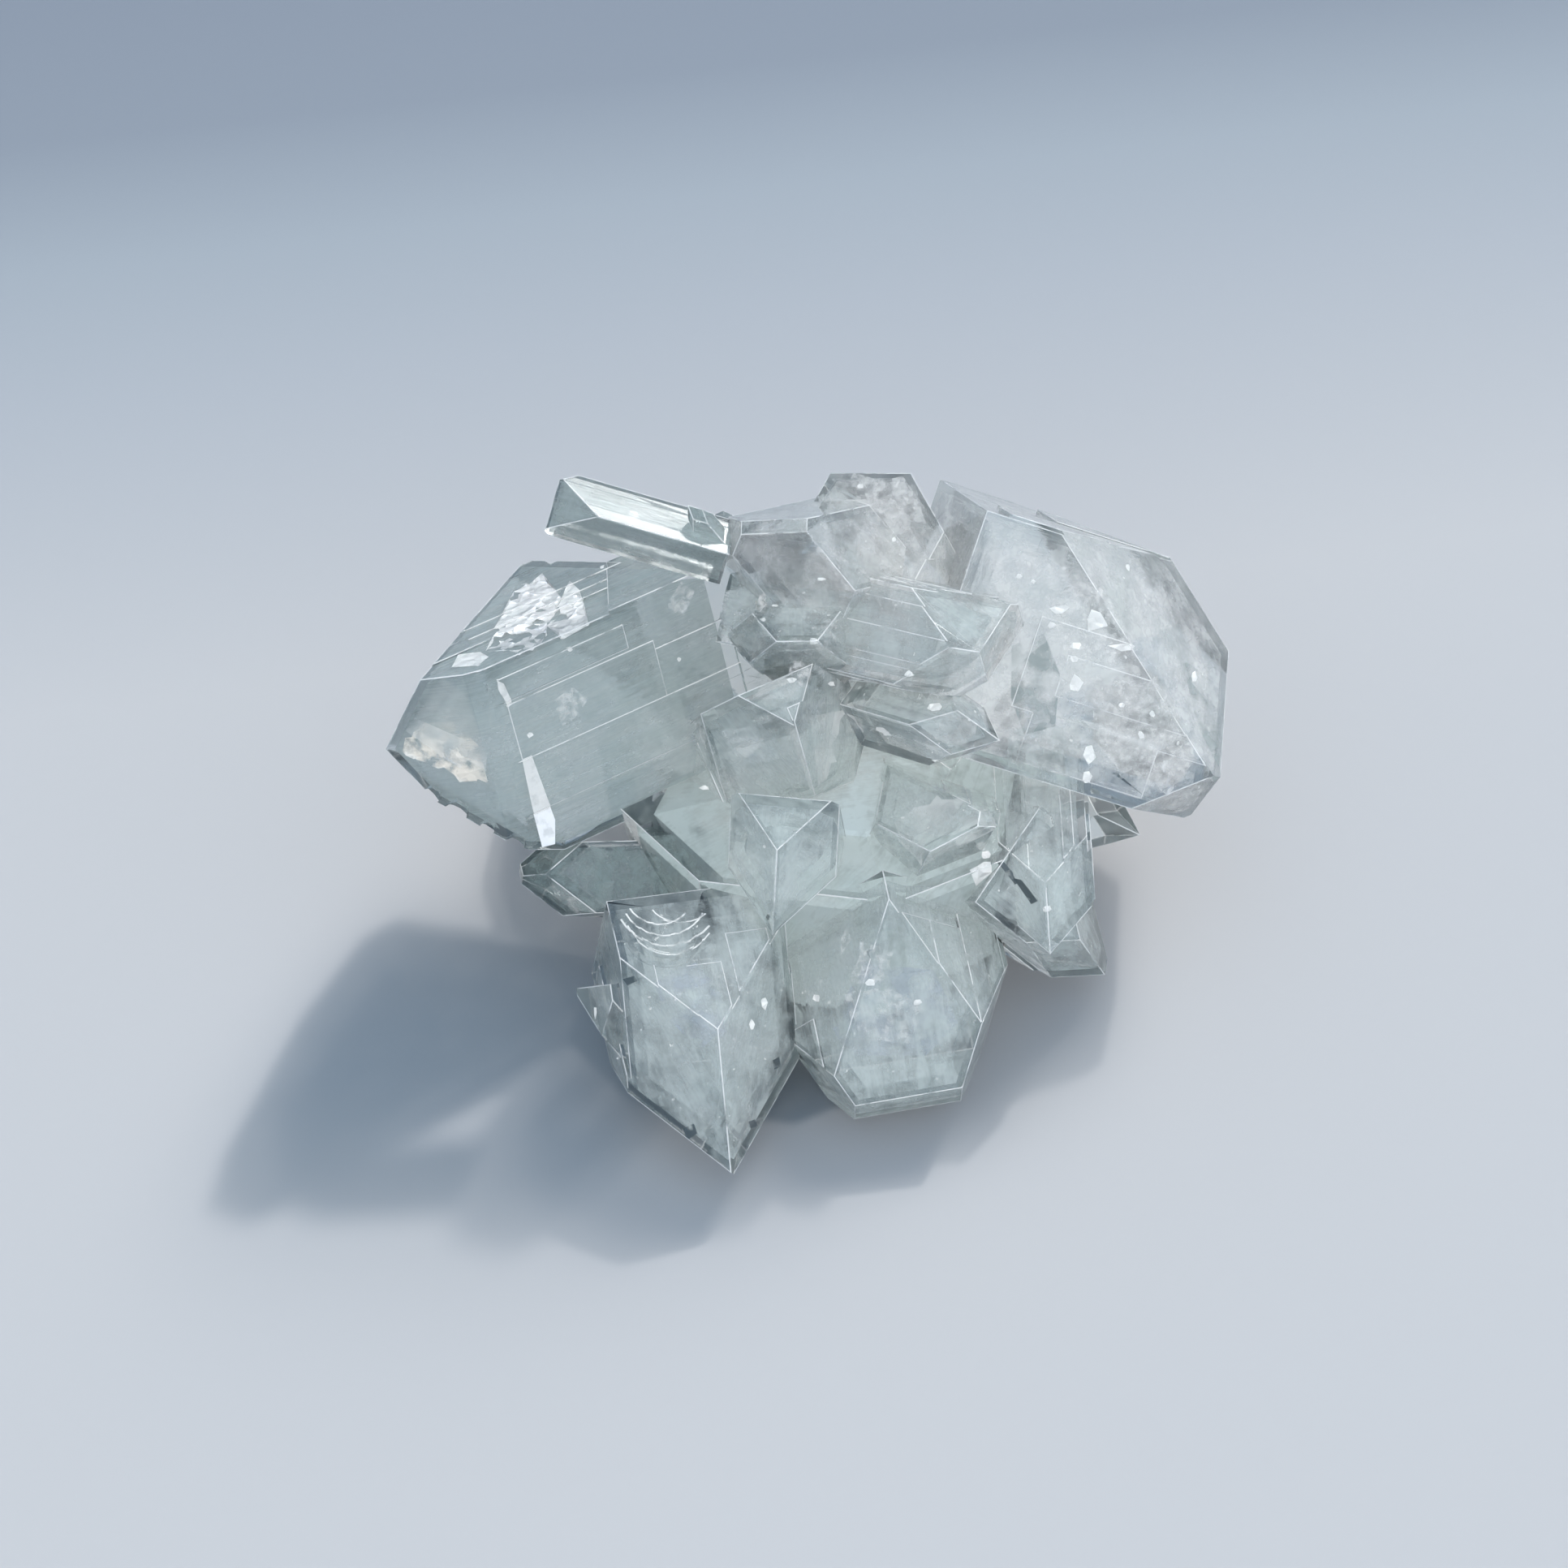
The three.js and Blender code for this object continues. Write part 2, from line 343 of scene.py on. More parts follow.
@dataclass(frozen=True)
class Crystal:
    """One crystal of the cluster, in the numbers of the part's source, as millimetres and degrees.

    Its own axes are x and y across the prism and z towards the tip, with the ideal tip at the origin.
    A cut is a further face: its direction across, its tilt from the axis and its distance.
    """

    name: str
    tip: tuple[float, float, float]
    azimuth: float
    rise: float
    turn: float
    half: float
    length: float
    lines: int = 8
    blunt: float = 0.0
    grown: tuple[float, float, float, float] = (0.0, 0.0, 0.0, 0.0)
    sides: tuple[float, float, float, float] | None = None
    cuts: tuple[tuple[float, float, float], ...] = ()
    zones: tuple[float, ...] = ()

    def reaches(self) -> tuple[float, float, float, float]:
        """How far its four prism faces stand from the axis."""
        return self.sides or (self.half,) * 4

    def axes(self, shift: Vector) -> Matrix:
        """Where the crystal's own frame is.

        Args:
            shift: From the source's middle to the frame's.

        Returns:
            The matrix from the crystal's own frame to the part's.
        """
        a, r, t = (math.radians(v) for v in (self.azimuth, self.rise, self.turn))
        along = Vector((math.cos(r) * math.cos(a), math.cos(r) * math.sin(a), math.sin(r)))
        side = Vector((-math.sin(a), math.cos(a), 0.0))
        up = along.cross(side)
        x = side * math.cos(t) + up * math.sin(t)
        y = side * -math.sin(t) + up * math.cos(t)
        turned = Matrix((x, y, along)).transposed().to_4x4()
        return Matrix.Translation(Vector(self.tip) * MM + shift) @ turned

    def faces(self, inset: float) -> list[tuple[Vector, float]]:
        """The planes of the crystal, or of a smaller one inside it.

        Args:
            inset: How far inside every plane lies, in millimetres.

        Returns:
            Each plane's outward normal and its distance from the tip, in metres.
        """
        planes = [(Vector((0, 0, 1)), -self.blunt), (Vector((0, 0, -1)), self.length)]
        for side, (reach, grown) in enumerate(zip(self.reaches(), self.grown)):
            planes.append((facing(90 * side, 90), reach))
            planes.append((facing(90 * side + 45, PYRAMID_TILT), grown))
        for across, tilt, reach in self.cuts:
            planes.append((facing(across, tilt), reach))
        return [(normal, (reach - inset) * MM) for normal, reach in planes]

    def inner_form(self, inset: float, shift: Vector) -> bmesh.types.BMesh:
        """Builds the crystal's form as it was when it was smaller.

        Args:
            inset: How far inside the crystal's faces it lies, in millimetres.
            shift: From the source's middle to the frame's.

        Returns:
            A closed mesh in the part's frame, with its growth map.
        """
        planes = self.faces(inset)
        bm = bmesh.new()
        for trio in combinations(planes, 3):
            normals = Matrix([normal for normal, _ in trio])
            if abs(normals.determinant()) < 1e-6:
                continue
            point = normals.inverted() @ Vector([reach for _, reach in trio])
            if all(normal.dot(point) <= reach + 1e-8 for normal, reach in planes):
                bm.verts.new(point)
        bmesh.ops.remove_doubles(bm, verts=bm.verts, dist=0.001 * MM)
        bmesh.ops.convex_hull(bm, input=bm.verts)
        bmesh.ops.transform(bm, matrix=self.axes(shift), verts=bm.verts)
        bmesh.ops.recalc_face_normals(bm, faces=bm.faces)
        along = self.axes(shift).to_3x3() @ Vector((0, 0, 1))
        layer = bm.loops.layers.uv.new("growth")
        for face in bm.faces:
            lay_growth(face, along, layer)
        return bm


def facing(across: float, tilt: float) -> Vector:
    """The direction of a face in a crystal's own frame.

    Args:
        across: Its direction round the axis, in degrees.
        tilt: Its tilt from the axis, in degrees.

    Returns:
        Its outward normal.
    """
    a, t = math.radians(across), math.radians(tilt)
    return Vector((math.sin(t) * math.cos(a), math.sin(t) * math.sin(a), math.cos(t)))


def lay_growth(face: bmesh.types.BMFace, along: Vector, layer: bmesh.types.BMLayerItem) -> None:
    """Maps a face in millimetres across and along its crystal's long axis.

    Args:
        face: The mesh face.
        along: The crystal's long axis.
        layer: The map to write.
    """
    across = face.normal.cross(along)
    across = across.normalized() if across.length > 1e-6 else along.orthogonal().normalized()
    for loop in face.loops:
        loop[layer].uv = (loop.vert.co.dot(across) / MM, loop.vert.co.dot(along) / MM)


def add_to(whole: bmesh.types.BMesh, part: bmesh.types.BMesh) -> None:
    """Adds one mesh under construction to another, with its growth map, and frees it.

    Args:
        whole: The mesh to add to.
        part: The mesh to add.
    """
    carrier = bpy.data.meshes.new("carrier")
    part.to_mesh(carrier)
    part.free()
    whole.from_mesh(carrier)
    bpy.data.meshes.remove(carrier)


def piece_of(name: str, bm: bmesh.types.BMesh, *materials: bpy.types.Material) -> bpy.types.Object:
    """Makes a flat-faced object of a mesh under construction and frees that.

    Args:
        name: The piece's name.
        bm: The mesh under construction.
        materials: The piece's materials.

    Returns:
        The new object.
    """
    mesh = bpy.data.meshes.new(name)
    bm.to_mesh(mesh)
    bm.free()
    for material in materials:
        mesh.materials.append(material)
    made = bpy.data.objects.new(name, mesh)
    bpy.context.scene.collection.objects.link(made)
    return made


MAIN_TIP = (-31.3, 4.2, 16)
CRYSTALS = (
    Crystal(
        "main_step", MAIN_TIP, -147, 2.2, 27, 7.8, 32, lines=26, grown=(20, 20, 20, 20),
        sides=(7.8, 8.05, 0.3, 7), cuts=((180, 27.7, -19.2),),
    ),
    Crystal(
        "main", MAIN_TIP, -147, 2.2, 27, 7.8, 32, lines=34, grown=(9, 0, 0, 9),
        cuts=(
            (0, 47, 1.3), (0, 68, 4.5), (-112, 54, -1.3), (-95, 66, 2.6), (-128, 38, -2.6),
            (180, 150, 19), (-135, 90, 3),
        ),
        zones=(2.2, 4.4),
    ),
    Crystal(
        "rear_left", (-19.7, 16.2, 32.6), 169, 12, 91, 1.65, 14.5, lines=4, blunt=1.5,
        grown=(0.7, 1.1, 1.1, -0.4), zones=(0.5,),
    ),
    Crystal(
        "ridge", (-0.9, 12.5, 34.6), -119, 67, -20, 5, 22, lines=12, blunt=0.4,
        grown=(0.3, -0.3, 3.4, 0.8), zones=(0.8, 2.2),
    ),
    Crystal(
        "rear", (6, 24, 28.5), 90, 45, 134, 5, 16, lines=6, blunt=1.1,
        grown=(0.6, 0.5, 3.4, 0.5), zones=(0.7, 1.8),
    ),
    Crystal(
        "right", (33.7, 14.9, 10.7), -5, -20, 139, 8.7, 27, lines=14, blunt=4,
        grown=(5.9, 0.4, 0.3, 0.2), zones=(0.8, 2.2, 4.0),
    ),
    Crystal(
        "front_left", (-4.9, -22.1, 3.8), -77, -9, 84, 6.2, 20, lines=18,
        sides=(5.8, 6.2, 4.4, 6.2), grown=(-0.2, 0.4, 0, -0.9), zones=(0.7, 1.7, 3.2),
    ),
    Crystal(
        "front_right", (8.2, -17.7, 2.6), -79, -13, 137, 6, 17, lines=12, blunt=2.4,
        grown=(2.9, -0.4, 1.5, 0.1), cuts=((135, 90, 4),), zones=(0.7, 1.7, 3.0),
    ),
    Crystal(
        "corner", (22.5, -2, 2.5), -21, -36, 115, 4.3, 13, lines=6,
        grown=(1.3, 0.3, 0, -0.7), zones=(0.6, 1.6),
    ),
    Crystal(
        "centre", (0, 5.8, 28), -89, 41, 135, 4.1, 22, lines=6, blunt=0.4,
        grown=(1.7, -0.8, 0, 0), zones=(0.6, 1.6),
    ),
    Crystal(
        "plate", (15.6, 6.1, 26.4), -29, 13, 138, 3.5, 24, lines=16, blunt=3,
        grown=(0, -0.4, 2.1, 0), zones=(0.6, 1.5),
    ),
    Crystal("spark", (13.4, 3.1, 21.3), -36, 17, 100, 2.3, 12, lines=5, zones=(0.5,)),
    Crystal(
        "middle_right", (8.5, -4.3, 17), -88, 39, 72, 4, 14, lines=6,
        grown=(0, -0.5, -0.7, 3.1), zones=(0.6, 1.5),
    ),
    Crystal("column", (17.1, -7.3, 10), -89, -2, 95, 3.2, 20, lines=8, zones=(0.6, 1.4)),
    Crystal("middle", (-2.7, -7.5, 12.5), -98, -16, 93, 3.9, 9, lines=6, zones=(0.6, 1.5)),
    Crystal(
        "shoulder", (0.9, 2, 13.5), -61, -34, 98, 5.5, 10.5, lines=8, blunt=1.9,
        grown=(0, 3.9, 2.8, 0), zones=(0.6,),
    ),
    Crystal(
        "grey", (-21.1, 0.1, 9), -170, 10, 55, 2.6, 14, lines=8,
        grown=(1.1, 0.5, -0.4, 0.7), zones=(0.5,),
    ),
    Crystal("side", (-12.9, -13.2, 4.6), -80, -38, 60, 2.2, 6, lines=3, grown=(0.3, 0, 0.4, 0)),
    Crystal("back_left", (-19, 24, 7), 130, -8, 30, 4, 24, lines=8, zones=(0.8,)),
    Crystal("back", (-3, 27, 10), 100, 8, 62, 4.6, 22, lines=8, blunt=0.8, zones=(0.8,)),
    Crystal("back_right", (15, 27, 5), 62, -16, 15, 4.4, 22, lines=8, zones=(0.8,)),
)


@dataclass
class ClusterSkin:
    """The whole cluster, with striated prism faces, in place of the plain solid."""

    finish: ClearCrystal = field(default_factory=ClearCrystal)
    seed: int = 11
    line_depth: float = 0.035 * MM
    face_slack: float = 0.4 * MM
    same_way: float = 0.9995
    same_point: float = 0.002 * MM

    def build(self, node: bpy.types.Object) -> bpy.types.Object:
        """Copies the solid, cuts the growth lines and dresses it.

        Args:
            node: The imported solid.

        Returns:
            The finished piece.
        """
        self.shift = self.find_shift(node)
        bm = bmesh.new()
        bm.from_mesh(node.data)
        bmesh.ops.remove_doubles(bm, verts=bm.verts, dist=self.same_point)
        random.seed(self.seed)
        for crystal in CRYSTALS:
            self.cut_lines(bm, crystal)
        bmesh.ops.triangulate(bm, faces=bm.faces)
        self.lay_growth_map(bm)
        return piece_of("crystal_cluster", bm, self.finish.material())

    @staticmethod
    def find_shift(node: bpy.types.Object) -> Vector:
        """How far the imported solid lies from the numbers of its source, read off its flat foot.

        Args:
            node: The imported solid.

        Returns:
            The shift from the source's middle to the frame's.
        """
        foot = [v.co for v in node.data.vertices if v.co.z < 0.001 * MM]
        left = min(p.x for p in foot)
        front = min(p.y for p in foot)
        return Vector((left - FOOT_LEFT, front - FOOT_FRONT, 0.0))

    def prism_face(self, bm: bmesh.types.BMesh, crystal: Crystal, side: int, axes: Matrix) -> list:
        """The mesh faces that make one prism face of a crystal, its low ledges included.

        Args:
            bm: The cluster's mesh.
            crystal: The crystal.
            side: Which of its four prism faces.
            axes: Where the crystal's own frame is.

        Returns:
            Those mesh faces.
        """
        out = axes.to_3x3() @ Matrix.Rotation(math.radians(90 * side), 3, "Z") @ Vector((1, 0, 0))
        reach = crystal.reaches()[side] * MM
        home = axes.inverted()
        found = []
        for face in bm.faces:
            if face.normal.dot(out) < self.same_way:
                continue
            middle = face.calc_center_median()
            if not -self.face_slack < (middle - axes.translation).dot(out) - reach < self.face_slack:
                continue
            local = home @ middle
            widest = max(crystal.reaches()) * MM
            if local.xy.length < 1.6 * widest and -crystal.length * MM < local.z < 0:
                found.append(face)
        return found

    def cut_lines(self, bm: bmesh.types.BMesh, crystal: Crystal) -> None:
        """Cuts each prism face of a crystal into long strips and sinks every cut by its own small depth.

        Args:
            bm: The cluster's mesh.
            crystal: The crystal.
        """
        axes = crystal.axes(self.shift)
        for side in range(4):
            faces = self.prism_face(bm, crystal, side, axes)
            spin = Matrix.Rotation(math.radians(90 * side), 3, "Z")
            out = axes.to_3x3() @ spin @ Vector((1, 0, 0))
            across = axes.to_3x3() @ spin @ Vector((0, 1, 0))
            right = crystal.reaches()[(side + 3) % 4] * MM
            left = crystal.reaches()[(side + 1) % 4] * MM
            places = sorted(random.uniform(-right, left) for _ in range(crystal.lines))
            depths = {}
            for place in places:
                geometry = set(faces)
                for face in faces:
                    geometry.update(face.edges)
                    geometry.update(face.verts)
                start = axes.translation + across * place
                cut = bmesh.ops.bisect_plane(
                    bm, geom=list(geometry), dist=self.same_point, plane_co=start, plane_no=across
                )
                depth = random.uniform(0.0, self.line_depth)
                for part in cut["geom_cut"]:
                    if isinstance(part, bmesh.types.BMVert):
                        depths[part] = depth
                faces = [part for part in cut["geom"] if isinstance(part, bmesh.types.BMFace)]
            for corner, depth in depths.items():
                if corner.is_valid:
                    corner.co -= out * depth

    def lay_growth_map(self, bm: bmesh.types.BMesh) -> None:
        """Lays a map over every face that runs along its crystal's long axis, in millimetres.

        Args:
            bm: The cluster's mesh.
        """
        layer = bm.loops.layers.uv.new("growth")
        bm.normal_update()
        frames = [(crystal, crystal.axes(self.shift)) for crystal in CRYSTALS]
        for face in bm.faces:
            lay_growth(face, self.long_axis(face, frames), layer)

    @staticmethod
    def long_axis(face: bmesh.types.BMFace, frames: list[tuple[Crystal, Matrix]]) -> Vector:
        """The long axis of the crystal that a face most likely belongs to.

        Args:
            face: The mesh face.
            frames: Every crystal with its axes.

        Returns:
            That crystal's axis towards its tip.
        """
        middle = face.calc_center_median()
        best, nearest = Vector((0, 0, 1)), math.inf
        for crystal, axes in frames:
            local = axes.inverted() @ middle
            along = axes.to_3x3() @ Vector((0, 0, 1))
            if -crystal.length * MM <= local.z <= 0.5 * MM:
                half = max(crystal.reaches()) * MM
                misfit = abs(max(abs(local.x), abs(local.y)) - half) + 4 * MM * abs(face.normal.dot(along))
                if misfit < nearest:
                    best, nearest = along, misfit
        return best


@dataclass
class GrowthZones:
    """The milky zones that follow the form of some of the crystals inside them."""

    name: str
    crystals: tuple[str, ...]
    finish: InnerCloud
    insets: tuple[float, ...] = ()

    def build(self, shift: Vector) -> bpy.types.Object:
        """Builds those crystals' zones as one piece.

        Args:
            shift: From the source's middle to the frame's.

        Returns:
            The zones.
        """
        whole = bmesh.new()
        whole.loops.layers.uv.new("growth")
        for crystal in CRYSTALS:
            if crystal.name in self.crystals:
                for inset in self.insets or crystal.zones:
                    add_to(whole, crystal.inner_form(inset, shift))
        return piece_of(self.name, whole, self.finish.material())


@dataclass
class MilkyRoot:
    """The cloudy rock end of the cluster, which all the crystals grew from."""

    finish: InnerCloud
    levels: tuple[float, ...] = (0.8, 10.5, 13.2)
    spans: tuple[float, ...] = (0.82, 0.84, 0.42)

    def build(self, shift: Vector) -> bpy.types.Object:
        """Builds the cloudy root.

        Args:
            shift: From the source's middle to the frame's.

        Returns:
            The root.
        """
        bm = bmesh.new()
        for level, span, outline in zip(self.levels, self.spans, (FOOT, GIRTH, GIRTH)):
            middle = sum((Vector(p) for p in outline), Vector((0, 0))) / len(outline)
            for corner in outline:
                flat = middle + (Vector(corner) - middle) * span
                bm.verts.new(Vector((flat.x, flat.y, level)) * MM + shift)
        bmesh.ops.convex_hull(bm, input=bm.verts)
        bmesh.ops.recalc_face_normals(bm, faces=bm.faces)
        layer = bm.loops.layers.uv.new("growth")
        for face in bm.faces:
            lay_growth(face, Vector((0.5, 0.1, 1)).normalized(), layer)
        return piece_of("milky_root", bm, self.finish.material())


@dataclass
class PaintedEdgeHighlights:
    """The fine bright line that every sharp crystal edge shows: a painted highlight, as a thin white thread
    sunk along the edge.
    """

    finish: FrostedBreak
    sharp: float = 26.0
    shortest: float = 0.9 * MM
    smallest_face: float = 0.2 * MM * MM
    width: float = 0.045 * MM
    depth: float = 0.03 * MM
    proud: float = 0.004 * MM

    def build(self, node: bpy.types.Object) -> bpy.types.Object:
        """Lays a thin three-sided thread along every sharp outer edge.

        Args:
            node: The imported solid.

        Returns:
            The edges.
        """
        bm = bmesh.new()
        bm.from_mesh(node.data)
        bmesh.ops.remove_doubles(bm, verts=bm.verts, dist=0.002 * MM)
        bmesh.ops.dissolve_limit(bm, angle_limit=math.radians(1), verts=bm.verts, edges=bm.edges)
        threads = bmesh.new()
        for edge in bm.edges:
            if len(edge.link_faces) != 2 or not edge.is_convex or edge.calc_length() < self.shortest:
                continue
            if edge.calc_face_angle() < math.radians(self.sharp):
                continue
            if min(face.calc_area() for face in edge.link_faces) < self.smallest_face:
                continue
            self.thread(threads, edge)
        bm.free()
        return piece_of("worn_edges", threads, self.finish.material())

    def thread(self, threads: bmesh.types.BMesh, edge: bmesh.types.BMEdge) -> None:
        """Adds the thread of one edge.

        Args:
            threads: The mesh to add to.
            edge: The sharp edge.
        """
        start, stop = (corner.co for corner in edge.verts)
        out = (edge.link_faces[0].normal + edge.link_faces[1].normal).normalized()
        across = (stop - start).cross(out).normalized()
        ends = []
        for place in (start, stop):
            ends.append([
                threads.verts.new(place + out * self.proud),
                threads.verts.new(place + across * self.width - out * self.depth),
                threads.verts.new(place - across * self.width - out * self.depth),
            ])
        first, last = ends
        threads.faces.new(first)
        threads.faces.new(reversed(last))
        for k in range(3):
            n = (k + 1) % 3
            threads.faces.new((first[n], first[k], last[k], last[n]))


@dataclass
class Sparkles:
    """Tiny cracks and cleavage flakes scattered along the growth zones."""

    name: str
    crystals: tuple[str, ...]
    inset: float
    per_square_mm: float
    sizes: tuple[float, float]
    lean: float
    seed: int

    def bed(self, shift: Vector) -> bpy.types.Object:
        """The zones along which the flakes lie.

        Args:
            shift: From the source's middle to the frame's.

        Returns:
            An object for the flakes to be scattered over.
        """
        whole = bmesh.new()
        for crystal in CRYSTALS:
            if crystal.name in self.crystals:
                add_to(whole, crystal.inner_form(self.inset, shift))
        return piece_of("flake_bed", whole)

    def tree(self) -> bpy.types.NodeTree:
        """Builds the tree that scatters flakes over a surface.

        Returns:
            The new geometry node tree.
        """
        tree = bpy.data.node_groups.new(f"{self.name}_scatter", "GeometryNodeTree")
        for name, kind in (
            ("Geometry", "Geometry"), ("Flakes per square metre", "Float"), ("Smallest", "Float"),
            ("Largest", "Float"), ("Lean", "Float"), ("Seed", "Int"), ("Material", "Material"),
        ):
            tree.interface.new_socket(name, in_out="INPUT", socket_type=f"NodeSocket{kind}")
        tree.interface.new_socket("Geometry", in_out="OUTPUT", socket_type="NodeSocketGeometry")
        n = Nodes(tree)
        given = n.add("NodeGroupInput").outputs
        spread = n.add(
            "GeometryNodeDistributePointsOnFaces", Mesh=given["Geometry"],
            Density=given["Flakes per square metre"], Seed=given["Seed"],
        )
        flake = n.add("GeometryNodeMeshCylinder", Vertices=6, Radius=0.5, Depth=0.06)
        turns = n.add("FunctionNodeRandomValue", Seed=given["Seed"])
        turns.data_type = "FLOAT_VECTOR"
        low = n.add("ShaderNodeCombineXYZ", Z=0.0)
        high = n.add("ShaderNodeCombineXYZ", X=given["Lean"], Y=given["Lean"], Z=2 * math.pi)
        n.link(low.outputs[0], turns.inputs[0])
        n.link(high.outputs[0], turns.inputs[1])
        aligned = n.add("FunctionNodeRotateRotation", in0=spread.outputs["Rotation"], in1=turns.outputs[0])
        aligned.rotation_space = "LOCAL"
        sizes = n.add(
            "FunctionNodeRandomValue", in2=given["Smallest"], in3=given["Largest"], Seed=given["Seed"]
        )
        longer = n.add("FunctionNodeRandomValue", in2=0.35, in3=1.0, Seed=self.seed + 1)
        wide = n.add("ShaderNodeMath:MULTIPLY", in0=sizes.outputs[1], in1=longer.outputs[1])
        scale = n.add("ShaderNodeCombineXYZ", X=sizes.outputs[1], Y=wide.outputs[0], Z=sizes.outputs[1])
        placed = n.add(
            "GeometryNodeInstanceOnPoints", Points=spread.outputs["Points"], Instance=flake.outputs["Mesh"],
            Rotation=aligned.outputs[0], Scale=scale.outputs[0],
        )
        real = n.add("GeometryNodeRealizeInstances", Geometry=placed.outputs["Instances"])
        dressed = n.add("GeometryNodeSetMaterial", Geometry=real.outputs[0], Material=given["Material"])
        n.add("NodeGroupOutput", Geometry=dressed.outputs[0])
        return tree

    def build(self, shift: Vector, material: bpy.types.Material) -> bpy.types.Object:
        """Scatters the flakes and turns them into a plain mesh.

        Args:
            shift: From the source's middle to the frame's.
            material: Their finish.

        Returns:
            The flakes.
        """
        bed = self.bed(shift)
        modifier = bed.modifiers.new("scatter", "NODES")
        modifier.node_group = self.tree()
        smallest, largest = self.sizes
        values = {
            "Flakes per square metre": self.per_square_mm / MM**2, "Smallest": smallest * MM,
            "Largest": largest * MM, "Lean": math.radians(self.lean), "Seed": self.seed,
            "Material": material,
        }
        for socket in modifier.node_group.interface.items_tree:
            if socket.in_out == "INPUT" and socket.name in values:
                modifier[socket.identifier] = values[socket.name]
        bed.update_tag()
        evaluated = bed.evaluated_get(bpy.context.evaluated_depsgraph_get())
        mesh = bpy.data.meshes.new_from_object(evaluated)
        mesh.name = self.name
        bpy.data.objects.remove(bed)
        made = bpy.data.objects.new(self.name, mesh)
        bpy.context.scene.collection.objects.link(made)
        return made


@dataclass
class InnerSheet:
    """A crack, veil, coloured patch, painted highlight or patch of painted light inside the crystals, placed
    where the photograph shows it.

    The outline is in the photograph's pixels, and the depth, rest and cell sizes are millimetres.
    """

    name: str
    outline: tuple[tuple[float, float], ...]
    depth: float = 0.6
    crinkle: float = 0.0
    cell: float = 0.6
    tip_over: float = 0.0
    crust: float = 0.1

    def build(self, studio: Studio, skin: BVHTree, material: bpy.types.Material) -> bpy.types.Object | None:
        """Builds the sheet behind the face that its outline's middle meets.

        Args:
            studio: Where the camera's rays come from.
            skin: The cluster's surface.
            material: The sheet's finish.

        Returns:
            The sheet, or None where the ray misses the cluster.
        """
        eye = studio.eye()
        middle = tuple(sum(p[k] for p in self.outline) / len(self.outline) for k in (0, 1))
        hit, normal, _, _ = skin.ray_cast(eye, studio.ray(middle))
        if hit is None:
            return None
        if normal.dot(studio.ray(middle)) > 0:
            normal = -normal
        way = normal.lerp(studio.backward(), self.tip_over).normalized()
        origin = hit - way * self.depth * MM
        u = way.orthogonal().normalized()
        v = way.cross(u)
        edge = []
        for pixel in self.outline:
            ray = studio.ray(pixel)
            far = (origin - eye).dot(way) / ray.dot(way)
            place = eye + ray * far - origin
            edge.append(Vector((place.dot(u), place.dot(v))))
        bm = self.crumpled(edge, origin, u, v, way)
        self.trim(bm, skin)
        if not bm.faces:
            bm.free()
            return None
        return piece_of(self.name, bm, material)

    def trim(self, bm: bmesh.types.BMesh, skin: BVHTree) -> None:
        """Takes off the facets that would stick out of the crystals.

        Args:
            bm: The sheet.
            skin: The cluster's surface.
        """
        out = []
        for corner in bm.verts:
            near, normal, _, _ = skin.find_nearest(corner.co)
            if (corner.co - near).dot(normal) > self.crust * MM:
                out.append(corner)
        bmesh.ops.delete(bm, geom=out, context="VERTS")

    def crumpled(
        self, edge: list[Vector], origin: Vector, u: Vector, v: Vector, way: Vector
    ) -> bmesh.types.BMesh:
        """Fills the outline with small facets that lean at random.

        Args:
            edge: The outline in the sheet's own plane.
            origin: The plane's origin.
            u: The plane's first direction.
            v: The plane's second direction.
            way: The plane's normal.

        Returns:
            The sheet.
        """
        chance = random.Random(self.name)
        low = Vector((min(p.x for p in edge), min(p.y for p in edge)))
        high = Vector((max(p.x for p in edge), max(p.y for p in edge)))
        points = list(edge)
        cell = self.cell * MM
        for i in range(1, int((high.x - low.x) / cell) + 1):
            for j in range(1, int((high.y - low.y) / cell) + 1):
                shake = Vector((chance.uniform(-0.4, 0.4), chance.uniform(-0.4, 0.4)))
                points.append(low + (Vector((i, j)) - Vector((0.5, 0.5)) + shake) * cell)
        rim = [(k, (k + 1) % len(edge)) for k in range(len(edge))]
        flat, _, faces, _, _, _ = delaunay_2d_cdt(points, rim, [list(range(len(edge)))], 1, 1e-9)
        bm = bmesh.new()
        corners = []
        for place in flat:
            lift = chance.uniform(-self.crinkle, self.crinkle) * MM
            corners.append(bm.verts.new(origin + u * place.x + v * place.y + way * lift))
        for face in faces:
            bm.faces.new([corners[k] for k in face])
        layer = bm.loops.layers.uv.new("growth")
        for face in bm.faces:
            for loop in face.loops:
                place = loop.vert.co - origin
                loop[layer].uv = (place.dot(u) / MM, place.dot(v) / MM)
        return bm


